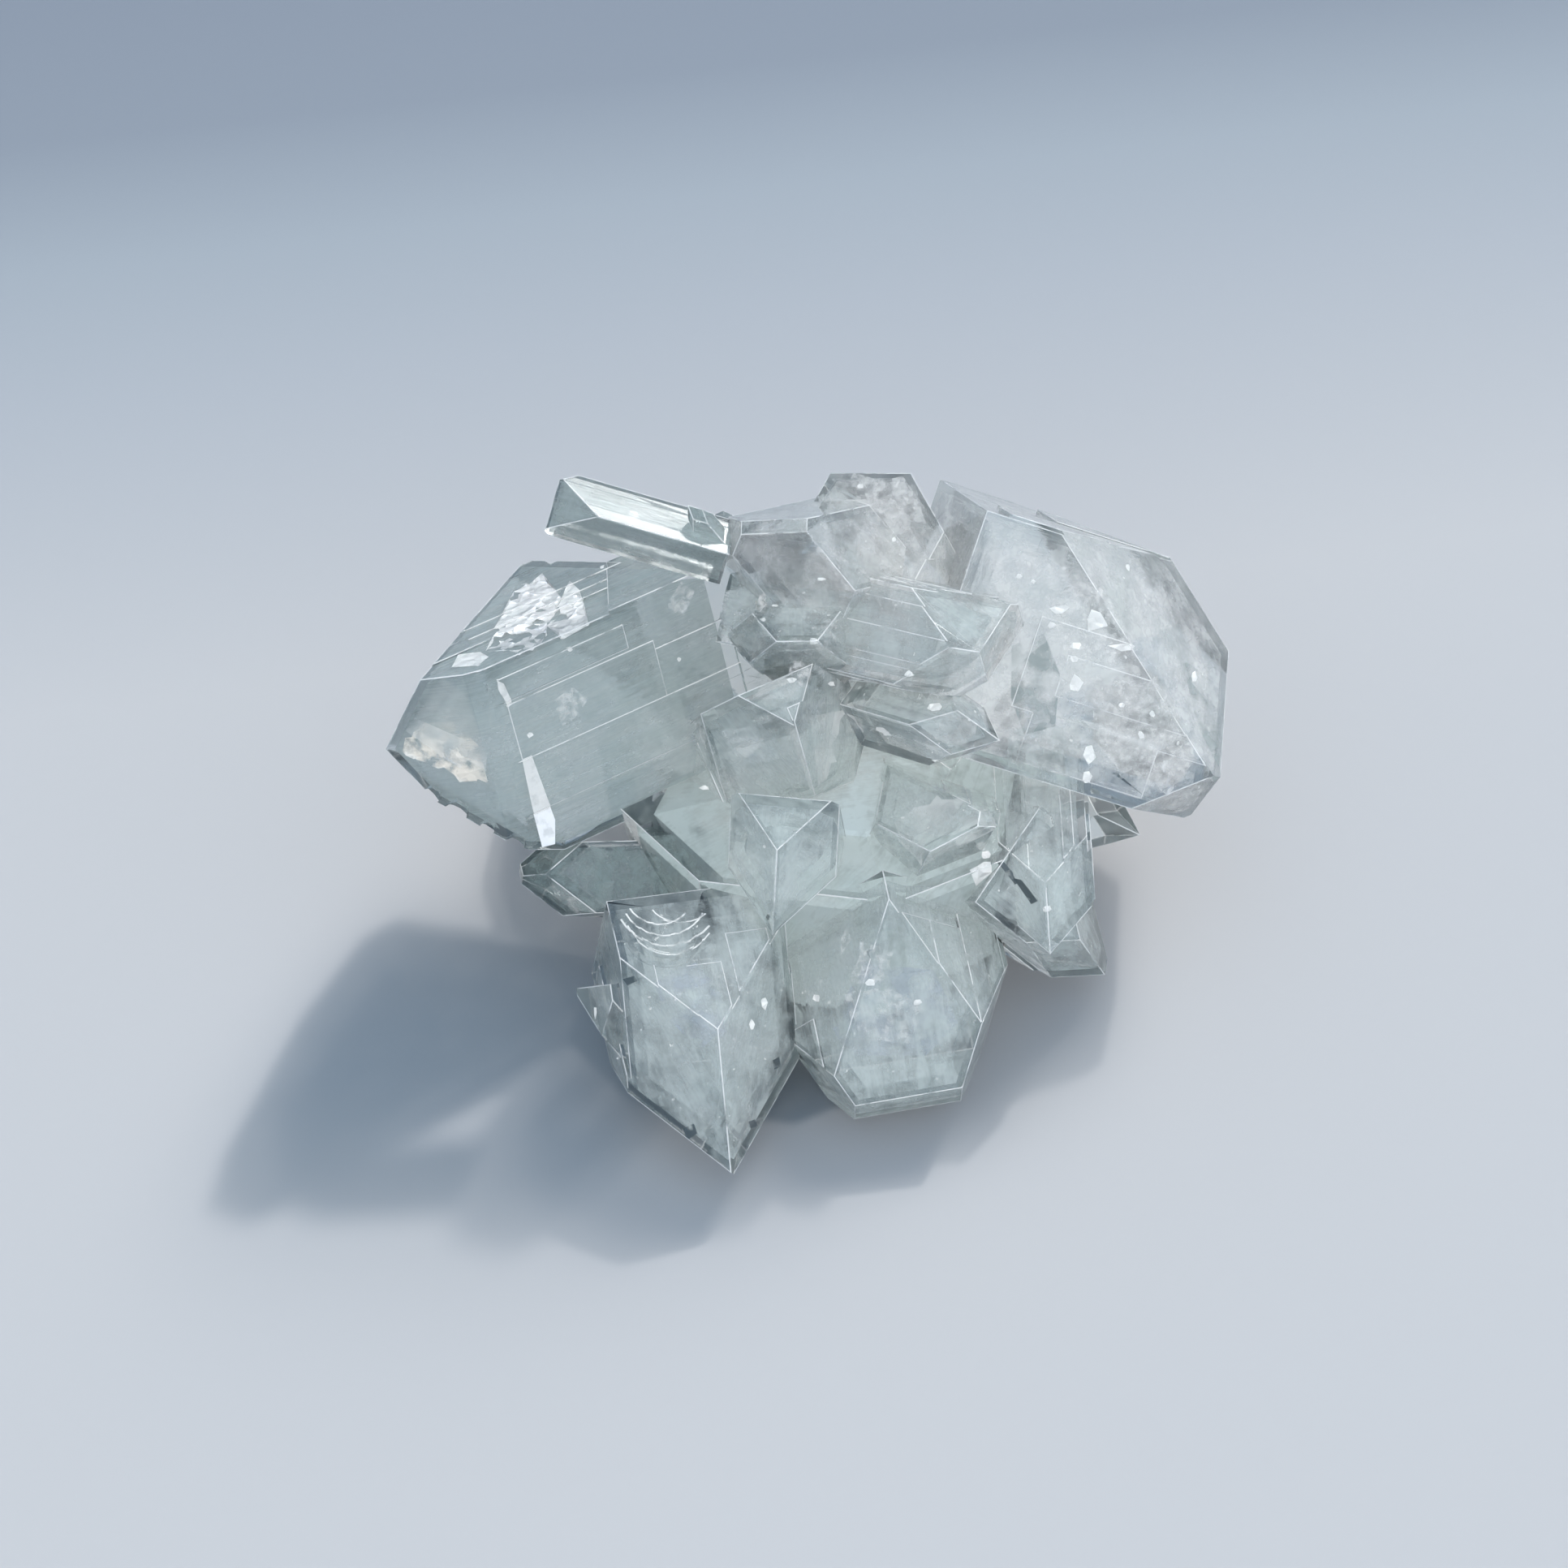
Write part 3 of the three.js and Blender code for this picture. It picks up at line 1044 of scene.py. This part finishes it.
@dataclass
class Studio:
    """The pale floor, the low sun behind and to the right, the soft sky and the camera."""

    shift: Vector
    aim: tuple[float, float, float] = (-1.898, 5.2, 14.0)
    elevation: float = 50.0
    distance: float = 320 * MM
    pixels_per_mm: float = 17.0
    sensor: float = 36.0
    sun_heading: float = 61.2
    sun_height: float = 38.0
    sun_width: float = 2.4
    sun_strength: float = 0.7
    through_strength: float = 0.68
    sky: tuple[float, float, float] = (0.27, 0.38, 0.51)
    glow: float = 23.0
    glow_sharpness: float = 90.0
    fill_heading: float = -70.0
    fill_height: float = 62.0
    fill_strength: float = 2.25
    fill_width: float = 20.0
    floor_side: float = 6.0

    def backward(self) -> Vector:
        """The direction from what the camera aims at to the camera."""
        e = math.radians(self.elevation)
        return Vector((0.0, -math.cos(e), math.sin(e)))

    def eye(self) -> Vector:
        """Where the camera stands."""
        return Vector(self.aim) * MM + self.shift + self.backward() * self.distance

    def ray(self, pixel: tuple[float, float]) -> Vector:
        """The direction in which the camera sees a point of the photograph.

        Args:
            pixel: The point, in the photograph's pixels from its top left corner.

        Returns:
            The direction, of length 1.
        """
        e = math.radians(self.elevation)
        focal = self.pixels_per_mm * self.distance / MM
        right = (pixel[0] - PHOTO_SIDE / 2) / focal
        up = (PHOTO_SIDE / 2 - pixel[1]) / focal
        way = Vector((right, up * math.sin(e), up * math.cos(e))) - self.backward()
        return way.normalized()

    def camera(self) -> bpy.types.Object:
        """Makes the camera at the photograph's viewing angle.

        Returns:
            The camera.
        """
        back = self.backward()
        lens = bpy.data.cameras.new("viewer")
        lens.sensor_width = self.sensor
        lens.lens = self.sensor * self.pixels_per_mm * (self.distance / MM) / PHOTO_SIDE
        lens.clip_start = 10 * MM
        lens.clip_end = 20.0
        made = bpy.data.objects.new("viewer", lens)
        made.location = self.eye()
        made.rotation_euler = back.to_track_quat("Z", "Y").to_euler()
        bpy.context.scene.collection.objects.link(made)
        bpy.context.scene.camera = made
        return made

    def sunward(self) -> Vector:
        """The direction towards the sun."""
        a, e = math.radians(self.sun_heading), math.radians(self.sun_height)
        return Vector((math.cos(e) * math.cos(a), math.cos(e) * math.sin(a), math.sin(e)))

    def lights(self) -> None:
        """Makes the sun and the sky with its glow round the sun."""
        lamp = bpy.data.lights.new("low_sun", "SUN")
        lamp.energy = self.sun_strength
        lamp.angle = math.radians(self.sun_width)
        sun = bpy.data.objects.new("low_sun", lamp)
        sun.rotation_euler = self.sunward().to_track_quat("Z", "Y").to_euler()
        bpy.context.scene.collection.objects.link(sun)
        world = bpy.data.worlds.new("soft_sky")
        bpy.context.scene.world = world
        world.use_nodes = True
        n = Nodes(world.node_tree)
        way = n.add("ShaderNodeTexCoord")
        towards = n.add("ShaderNodeVectorMath:DOT_PRODUCT", in0=way.outputs["Generated"], in1=self.sunward())
        off = n.add("ShaderNodeMath:SUBTRACT", in0=towards.outputs["Value"], in1=1.0)
        sharp = n.add("ShaderNodeMath:MULTIPLY", in0=off.outputs[0], in1=self.glow_sharpness)
        bright = n.add("ShaderNodeMath:EXPONENT", in0=sharp.outputs[0])
        glow = n.add("ShaderNodeBackground", Color=(1.0, 0.99, 0.97, 1.0), Strength=0.0)
        power = n.add("ShaderNodeMath:MULTIPLY", in0=bright.outputs[0], in1=self.glow)
        n.link(power.outputs[0], glow.inputs["Strength"])
        sky = n.add("ShaderNodeBackground", Color=(*self.sky, 1.0), Strength=1.0)
        both = n.add("ShaderNodeAddShader", in0=sky.outputs[0], in1=glow.outputs[0])
        n.add("ShaderNodeOutputWorld", Surface=both.outputs[0])

    def sunlight_through(self, floor: bpy.types.Object, milky: list[bpy.types.Object]) -> None:
        """Makes the share of the sunlight that clear crystal lets through to the floor.

        Args:
            floor: The floor, which is all that it lights.
            milky: The pieces that stop it.
        """
        lamp = bpy.data.lights.new("sun_through", "SUN")
        lamp.energy = self.through_strength
        lamp.angle = math.radians(self.sun_width)
        made = bpy.data.objects.new("sun_through", lamp)
        made.rotation_euler = self.sunward().to_track_quat("Z", "Y").to_euler()
        lit = bpy.data.collections.new("floor_only")
        lit.objects.link(floor)
        made.light_linking.receiver_collection = lit
        stops = bpy.data.collections.new("milky_pieces")
        for piece in milky:
            stops.objects.link(piece)
        made.light_linking.blocker_collection = stops
        bpy.context.scene.collection.objects.link(made)

    def fill(self, pieces: list[bpy.types.Object]) -> None:
        """Makes the light that reaches what lies inside the crystals, as the real crystals let it through.

        Args:
            pieces: The only pieces that it lights.
        """
        lit = bpy.data.collections.new("inside_the_crystals")
        for piece in pieces:
            lit.objects.link(piece)
        lamp = bpy.data.lights.new("inner_fill", "SUN")
        lamp.energy = self.fill_strength
        lamp.angle = math.radians(self.fill_width)
        lamp.use_shadow = False
        made = bpy.data.objects.new("inner_fill", lamp)
        a, e = math.radians(self.fill_heading), math.radians(self.fill_height)
        way = Vector((math.cos(e) * math.cos(a), math.cos(e) * math.sin(a), math.sin(e)))
        made.rotation_euler = way.to_track_quat("Z", "Y").to_euler()
        made.light_linking.receiver_collection = lit
        bpy.context.scene.collection.objects.link(made)

    def floor(self) -> bpy.types.Object:
        """Makes the pale floor, which darkens softly towards the back in a painted shadow band.

        Returns:
            The floor.
        """
        bm = bmesh.new()
        bmesh.ops.create_grid(bm, x_segments=1, y_segments=1, size=self.floor_side / 2)
        mesh = bpy.data.meshes.new("floor")
        bm.to_mesh(mesh)
        bm.free()
        made = bpy.data.objects.new("floor", mesh)
        bpy.context.scene.collection.objects.link(made)
        mesh.materials.append(self.floor_material())
        return made

    def floor_material(self) -> bpy.types.Material:
        """Builds the floor's matt material.

        Returns:
            The new material.
        """
        made = bpy.data.materials.new("pale_floor")
        made.use_nodes = True
        n = Nodes(made.node_tree)
        place = n.add("ShaderNodeTexCoord")
        back = n.add(
            "ShaderNodeVectorMath:DOT_PRODUCT", in0=place.outputs["Object"], in1=(-0.167, 0.986, 0.0)
        )
        share = n.add(
            "ShaderNodeMapRange", Value=back.outputs["Value"], in1=-60 * MM, in2=140 * MM, in3=0.0, in4=1.0
        )
        # The darker far stops are a painted soft shadow falling across the back of the floor.
        tone = n.ramp(
            share.outputs["Result"],
            [
                (0.0, (0.7, 0.675, 0.66, 1.0)),
                (0.45, (0.68, 0.655, 0.64, 1.0)),
                (0.62, (0.525, 0.535, 0.555, 1.0)),
                (0.7, (0.445, 0.475, 0.505, 1.0)),
                (0.78, (0.325, 0.355, 0.4, 1.0)),
                (0.88, (0.295, 0.325, 0.375, 1.0)),
            ],
        )
        skin = n.add("ShaderNodeBsdfPrincipled", Base_Color=tone.outputs["Color"], Roughness=0.85)
        n.add("ShaderNodeOutputMaterial", Surface=skin.outputs[0])
        return made

    def render_settings(self) -> None:
        """Sets how light is followed through the crystals and how the picture is toned."""
        scene = bpy.context.scene
        scene.view_settings.view_transform = "Standard"
        cycles = scene.cycles
        cycles.max_bounces = 7
        cycles.transmission_bounces = 7
        cycles.glossy_bounces = 3
        cycles.diffuse_bounces = 1
        cycles.transparent_max_bounces = 8
        cycles.sample_clamp_indirect = 12.0
        cycles.use_denoising = True


WHITE_BREAKS = (
    InnerSheet(
        "white_break_left",
        ((598, 802), (608, 778), (628, 738), (640, 708), (652, 720), (668, 706), (692, 738), (682, 760),
         (674, 782), (666, 800), (640, 804)),
        depth=0.08, crinkle=0.2, cell=0.4,
    ),
    InnerSheet(
        "white_break_right",
        ((702, 716), (714, 728), (720, 746), (726, 772), (706, 784), (690, 786), (674, 772), (690, 745)),
        depth=0.08, crinkle=0.2, cell=0.4,
    ),
    InnerSheet(
        "white_break_low", ((557, 825), (565, 808), (592, 805), (603, 812), (590, 824)),
        depth=0.3, crinkle=0.12, cell=0.5,
    ),
    InnerSheet(
        "white_slit", ((612, 838), (620, 842), (631, 866), (626, 871), (614, 850)), depth=0.25, cell=0.8,
    ),
    InnerSheet(
        "white_strip", ((642, 935), (654, 930), (684, 1010), (684, 1040), (668, 1044), (654, 990)),
        depth=0.25, cell=0.8,
    ),
    # A painted highlight of the sun, kept with the white cracks.
    InnerSheet(
        "corner_glint", ((1195, 1075), (1215, 1050), (1232, 1052), (1222, 1075), (1203, 1092)),
        depth=0.4, crinkle=0.15, cell=0.5, tip_over=0.6,
    ),
)
CREAM_PATCHES = (
    InnerSheet(
        "cream_patch",
        ((496, 926), (500, 908), (520, 906), (534, 918), (560, 920), (580, 938), (588, 962), (566, 964),
         (540, 950), (512, 944)),
        depth=0.2, crinkle=0.1, cell=0.6, tip_over=0.5,
    ),
    InnerSheet(
        "cream_veil", ((492, 930), (515, 890), (560, 885), (590, 915), (602, 965), (560, 972), (520, 950)),
        depth=0.35, crinkle=0.1, cell=0.9, tip_over=0.5,
    ),
)
FROSTY_PATCHES = (
    InnerSheet(
        "front_veil_high",
        ((1010, 1172), (1060, 1160), (1120, 1175), (1128, 1200), (1080, 1215), (1020, 1210)),
        depth=0.6, crinkle=0.1, cell=0.6, tip_over=0.6,
    ),
    InnerSheet(
        "front_veil_low", ((1040, 1225), (1090, 1215), (1140, 1240), (1120, 1285), (1060, 1280)),
        depth=0.8, crinkle=0.1, cell=0.6, tip_over=0.6,
    ),
    InnerSheet("front_wedge", ((995, 1303), (1013, 1280), (1024, 1342)), depth=0.3, cell=0.8, tip_over=0.5),
    InnerSheet(
        "pale_wedge", ((1025, 1152), (1046, 1142), (1052, 1158), (1038, 1178)), depth=0.3, tip_over=0.5,
    ),
    InnerSheet("pale_triangle", ((818, 748), (838, 716), (856, 728), (842, 762)), depth=0.2, tip_over=0.5),
    InnerSheet(
        "main_cloud", ((680, 862), (704, 845), (724, 862), (716, 888), (692, 894)), depth=0.25, cell=0.8,
        tip_over=0.5,
    ),
    InnerSheet(
        "pale_crystal_cracks",
        ((1345, 850), (1390, 816), (1450, 830), (1478, 880), (1470, 940), (1440, 980), (1380, 950),
         (1345, 910)),
        depth=0.8, crinkle=0.25, cell=0.7, tip_over=0.6,
    ),
    InnerSheet(
        "pale_crystal_frost", ((1285, 730), (1330, 715), (1390, 745), (1420, 790), (1370, 820), (1310, 800)),
        depth=0.8, crinkle=0.25, cell=0.7, tip_over=0.6,
    ),
    InnerSheet(
        "rear_frost", ((1010, 590), (1060, 578), (1130, 590), (1142, 650), (1090, 640), (1050, 610)),
        depth=0.7, crinkle=0.15, cell=0.7, tip_over=0.6,
    ),
    InnerSheet(
        "centre_frost_left", ((912, 738), (938, 728), (952, 748), (940, 768), (918, 762)),
        depth=0.5, crinkle=0.1, cell=0.6, tip_over=0.6,
    ),
    InnerSheet(
        "centre_frost_right", ((992, 762), (1030, 742), (1056, 760), (1048, 792), (1008, 796)),
        depth=0.5, crinkle=0.1, cell=0.6, tip_over=0.6,
    ),
    InnerSheet(
        "centre_frost_low", ((955, 820), (990, 800), (1012, 826), (990, 850)),
        depth=0.5, crinkle=0.1, cell=0.6, tip_over=0.6,
    ),
)
# Bright sheets that paint in light, lightening these places as the light carried through the real crystals
# does.
SOFT_LIGHTS = (
    InnerSheet(
        "main_left_light", ((500, 900), (548, 830), (575, 850), (600, 930), (640, 1030), (590, 985)),
        depth=0.4, cell=1.0, tip_over=0.5,
    ),
    InnerSheet(
        "centre_heart", ((1085, 950), (1140, 930), (1210, 960), (1225, 1020), (1160, 1085), (1100, 1040)),
        depth=0.7, cell=0.9, tip_over=0.6,
    ),
    InnerSheet(
        "pale_face", ((978, 880), (1072, 872), (1060, 940), (1002, 985)), depth=0.3, cell=1.0, tip_over=0.6,
    ),
)
LAVENDER_PATCHES = (
    InnerSheet(
        "front_right_heart",
        ((1000, 1210), (1060, 1185), (1150, 1195), (1180, 1260), (1140, 1300), (1050, 1300), (1005, 1260)),
        depth=1.0, crinkle=0.1, cell=1.0, tip_over=0.6,
    ),
    InnerSheet(
        "front_left_heart",
        ((790, 1185), (850, 1160), (900, 1180), (890, 1270), (850, 1330), (805, 1290)),
        depth=1.0, crinkle=0.1, cell=1.0, tip_over=0.6,
    ),
    InnerSheet(
        "iridescent_spot", ((1183, 974), (1194, 972), (1198, 992), (1188, 1000)), depth=0.3, cell=0.5,
    ),
)
TINTED_PATCHES = (
    InnerSheet(
        "small_crystal_end", ((671, 612), (697, 594), (748, 622), (751, 678), (690, 668)),
        depth=1.2, cell=0.8, tip_over=0.9,
    ),
    InnerSheet(
        "grey_crystal_cloud",
        ((655, 1052), (705, 1032), (750, 1050), (757, 1085), (750, 1125), (700, 1120), (665, 1100),
         (650, 1080)),
        depth=0.5, cell=1.2, crinkle=0.1, tip_over=0.7,
    ),
    InnerSheet(
        "column_blotches", ((1245, 795), (1285, 780), (1305, 830), (1300, 895), (1262, 905), (1245, 860)),
        depth=0.7, cell=1.2, crinkle=0.1, tip_over=0.7,
    ),
    InnerSheet(
        "dark_triangle", ((853, 624), (892, 645), (858, 653)), depth=0.4, cell=1.2, tip_over=0.7,
    ),
    InnerSheet(
        "pale_crystal_shade", ((1452, 760), (1500, 800), (1515, 900), (1490, 950), (1462, 900), (1450, 820)),
        depth=0.7, cell=1.2, crinkle=0.1, tip_over=0.7,
    ),
)
DARK_MARKS = (
    InnerSheet(
        "green_streak",
        ((588, 1003), (612, 1012), (640, 1030), (657, 1044), (650, 1047), (620, 1030), (592, 1012)),
        depth=0.3, cell=0.6, crinkle=0.05, tip_over=0.7,
    ),
    InnerSheet("ridge_speck", ((884, 645), (900, 642), (908, 650), (896, 658), (886, 654)), depth=0.3),
    InnerSheet("front_speck_high", ((768, 1206), (782, 1202), (786, 1208), (774, 1214)), depth=0.3),
    InnerSheet("front_speck_low", ((842, 1390), (856, 1384), (860, 1396), (848, 1404)), depth=0.3),
    InnerSheet("front_speck_right", ((950, 1306), (958, 1302), (960, 1314), (952, 1318)), depth=0.3),
    InnerSheet("front_speck_tip", ((920, 1382), (928, 1379), (931, 1387), (923, 1391)), depth=0.3),
    InnerSheet("corner_slit_high", ((1228, 1062), (1236, 1062), (1258, 1088), (1250, 1090)), depth=0.3),
    InnerSheet("corner_slit_low", ((1250, 1082), (1260, 1084), (1280, 1110), (1272, 1114)), depth=0.3),
    InnerSheet("pale_crystal_line", ((1370, 952), (1376, 952), (1440, 1004), (1438, 1010)), depth=0.3),
)
# Where the photograph shows a glint, with its width and height, all in its pixels. Each is painted in as a
# white highlight sheet.
GLINTS = (
    (780, 636, 9, 9), (1305, 750, 16, 10), (1350, 765, 18, 22), (1325, 795, 10, 8), (1385, 797, 26, 8),
    (1325, 840, 12, 14), (1342, 930, 10, 16), (1340, 957, 10, 14), (1322, 812, 8, 6), (1405, 905, 7, 7),
    (1470, 835, 8, 10), (1296, 770, 8, 6), (1255, 710, 5, 5), (1272, 716, 5, 4), (1388, 700, 5, 6),
    (1420, 880, 6, 6), (1382, 868, 6, 5), (1012, 712, 8, 4), (955, 745, 6, 4), (1002, 790, 8, 5),
    (940, 765, 5, 4), (975, 838, 9, 5), (1022, 842, 10, 5), (1088, 900, 16, 12), (1152, 872, 12, 8),
    (1168, 935, 24, 5), (742, 700, 5, 5), (652, 905, 6, 5), (836, 812, 5, 4),
    (702, 800, 5, 4), (868, 972, 10, 5), (1008, 1230, 8, 8), (1072, 1210, 10, 6), (1130, 1235, 8, 5),
    (940, 1235, 8, 12), (925, 1262, 6, 8), (800, 1372, 8, 6), (762, 1300, 6, 8), (1290, 1120, 8, 6),
    (1215, 1055, 9, 8), (1120, 830, 8, 5), (1060, 600, 6, 4), (1100, 665, 6, 5), (728, 1215, 5, 12),
    (735, 1248, 4, 14), (742, 1280, 5, 14), (751, 1312, 7, 12), (762, 1334, 7, 10), (776, 1350, 9, 8),
    (792, 1364, 9, 8), (808, 1377, 10, 7), (826, 1390, 9, 7), (846, 1410, 7, 6), (868, 1424, 7, 5),
)
# The nested curved cracks, open to the top: each one's middle, its reach across and down, and its width,
# in the same pixels. They share where they start and how far apart their points are, in degrees.
CRACK_START = 20
CRACK_STEP = 12.5
CRACK_POINTS = 12
CURVED_CRACKS = (
    (822, 1112, 63, 55, 2.6), (818, 1110, 52, 44, 2.2), (812, 1108, 40, 32, 2.2), (838, 1112, 38, 26, 2.0),
    (826, 1118, 58, 60, 1.8),
)
SPARKLES = (
    Sparkles("pale_crystal_flakes", ("right", "rear"), 1.6, 0.09, (0.08, 0.35), 25, 3),
    Sparkles("main_flakes", ("main", "ridge", "rear_left"), 1.8, 0.05, (0.06, 0.25), 25, 4),
    Sparkles("centre_flakes", ("centre", "plate", "spark", "middle_right"), 0.9, 0.2, (0.06, 0.3), 25, 5),
    Sparkles(
        "front_flakes", ("front_left", "front_right", "corner", "column", "middle"),
        1.2, 0.15, (0.06, 0.3), 25, 6,
    ),
)
# The crystals that are milky in the same way: name, crystals, finish, and depths where they aren't their own.
ZONES = (
    ("main_veil", ("main",), InnerCloud("main_veil", Tone.MIST, (0.38, 0.6), 0.32, 0.68, 3.2, 0.05), (0.5,)),
    ("main_zones", ("main",), InnerCloud("main_zone", Tone.FROST), (2.6,)),
    (
        "faint_zones", ("ridge", "back_left", "back", "back_right"),
        InnerCloud("faint_zone", Tone.BRIGHT, thickest=0.36), (),
    ),
    (
        "bright_zones", ("right", "rear"),
        InnerCloud("bright_zone", Tone.BRIGHT, thinnest=0.04, thickest=0.38, spots=520.0, spot_share=0.85),
        (0.8, 2.2),
    ),
    (
        "milky_zones",
        ("front_left", "front_right", "corner", "centre", "plate", "spark", "middle_right", "column",
         "middle", "shoulder"),
        InnerCloud("milky_zone", thickest=0.55), (0.6, 1.8),
    ),
    (
        "dull_zones", ("rear_left",),
        InnerCloud("dull_zone", Tone.MIST, thinnest=0.3, thickest=0.7), (0.25, 0.6),
    ),
    (
        "grey_zones", ("grey",),
        InnerCloud("grey_zone", Tone.GREY_GREEN, thinnest=0.2, thickest=0.85, spots=900.0, spot_share=1.0),
        (0.4,),
    ),
)
ROOT_CLOUD = InnerCloud("milky_root", Tone.ROOT, (0.34, 0.54), 0.3, 0.9)
# The groups that also stop the sunlight that the clear crystals let through.
SHADING = ("main_veil", "main_zones", "faint_zones", "dull_zones", "milky_root")


def curved_crack(number: int, place: tuple[float, float, float, float, float]) -> InnerSheet:
    """Makes one thin curved crack.

    Args:
        number: Its number.
        place: Its middle, its reach across and down, and its width, in the photograph's pixels.

    Returns:
        The crack.
    """
    x, y, across, down, width = place
    turns = [math.radians(CRACK_START + CRACK_STEP * step) for step in range(CRACK_POINTS)]
    outer = [(x + across * math.cos(turn), y + down * math.sin(turn)) for turn in turns]
    share = 1 - width / across
    inner = [(x + across * share * math.cos(turn), y + down * share * math.sin(turn)) for turn in turns]
    return InnerSheet(
        f"curved_crack_{number}", tuple(outer + inner[::-1]), depth=0.25, cell=4.0, tip_over=0.6,
    )


def glint(number: int, place: tuple[float, float, float, float]) -> InnerSheet:
    """Makes a painted highlight: a small, nearly solid white sheet with an uneven outline, where the sun
    glints.

    Args:
        number: Its number, which also fixes its outline.
        place: Its middle, width and height, in the photograph's pixels.

    Returns:
        The crack.
    """
    x, y, width, height = place
    chance = random.Random(number)
    outline = []
    for step in range(6):
        angle = math.radians(60 * step + chance.uniform(-20, 20))
        reach = chance.uniform(0.5, 0.9)
        outline.append((x + width * reach * math.cos(angle), y + height * reach * math.sin(angle)))
    return InnerSheet(f"glint_{number:02d}", tuple(outline), depth=0.35, cell=0.4, crinkle=0.06, tip_over=0.6)


def joined(name: str, pieces: list[bpy.types.Object | None]) -> bpy.types.Object:
    """Joins pieces of one finish into one.

    Args:
        name: The new piece's name.
        pieces: The pieces, of which any may be missing.

    Returns:
        The joined piece.
    """
    pieces = [piece for piece in pieces if piece]
    whole = bmesh.new()
    for piece in pieces:
        whole.from_mesh(piece.data)
    finish = pieces[0].data.materials[0]
    for piece in pieces:
        bpy.data.objects.remove(piece)
    return piece_of(name, whole, finish)


def main() -> None:
    """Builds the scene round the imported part."""
    logging.basicConfig(level=logging.INFO, format="%(message)s")
    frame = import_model()
    skin = ClusterSkin()
    cluster = skin.build(frame["nodes"][CLUSTER_NODE])
    studio = Studio(skin.shift)
    studio.camera()
    studio.lights()
    floor = studio.floor()
    studio.render_settings()
    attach(cluster, "root")
    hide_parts(CLUSTER_NODE)
    log.info("crystal_cluster: %d faces", len(cluster.data.polygons))
    shift = skin.shift
    inner = [GrowthZones(*zones).build(shift) for zones in ZONES]
    inner.append(MilkyRoot(ROOT_CLOUD).build(shift))
    bright = FrostedBreak("white_break").material()
    for sparkles in SPARKLES:
        inner.append(sparkles.build(shift, bright))
    surface = BVHTree.FromObject(cluster, bpy.context.evaluated_depsgraph_get())
    glints = [glint(number, place) for number, place in enumerate(GLINTS)]
    cracks = [curved_crack(number, place) for number, place in enumerate(CURVED_CRACKS)]
    for name, sheets, finish in (
        ("white_breaks", WHITE_BREAKS, FrostedBreak("silver_break", thinnest=0.75)),
        # The glints are painted highlights in nearly solid white.
        ("glints", glints, FrostedBreak("glint", thinnest=0.8)),
        ("curved_cracks", cracks, FrostedBreak("curved_crack", thinnest=0.2, thickest=0.9)),
        ("cream_patches", CREAM_PATCHES, Mottle("cream_veil", Tone.CREAM, (0.36, 0.56), 0.9, 900.0)),
        ("frosty_patches", FROSTY_PATCHES, Mottle("frosty_veil", Tone.BRIGHT, (0.42, 0.64), 0.42, 1900.0)),
        ("soft_lights", SOFT_LIGHTS, Mottle("soft_light", Tone.BRIGHT, (0.3, 0.7), 0.55, 240.0)),
        ("tinted_patches", TINTED_PATCHES, Mottle("grey_green_cloud", Tone.GREY_GREEN, (0.38, 0.62), 0.75)),
        ("lavender_patches", LAVENDER_PATCHES, Mottle("lavender_veil", Tone.LAVENDER, (0.36, 0.6), 0.6)),
        ("dark_marks", DARK_MARKS, Mottle("dark_mineral", Tone.SLATE, (0.3, 0.45), 0.95, 1500.0)),
    ):
        surface_finish = finish.material()
        inner.append(joined(name, [sheet.build(studio, surface, surface_finish) for sheet in sheets]))
    # The sharp edges get painted highlights: thin white threads along them.
    edges = PaintedEdgeHighlights(FrostedBreak("worn_edge", thinnest=0.05, thickest=0.5, grain=500.0))
    edges = edges.build(frame["nodes"][CLUSTER_NODE])
    inner.append(edges)
    studio.fill(inner)
    studio.sunlight_through(floor, [piece for piece in inner if piece.name in SHADING])
    for piece in inner:
        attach(piece, "root")
        log.info("%s: %d faces", piece.name, len(piece.data.polygons))


if __name__ == "__main__":
    main()
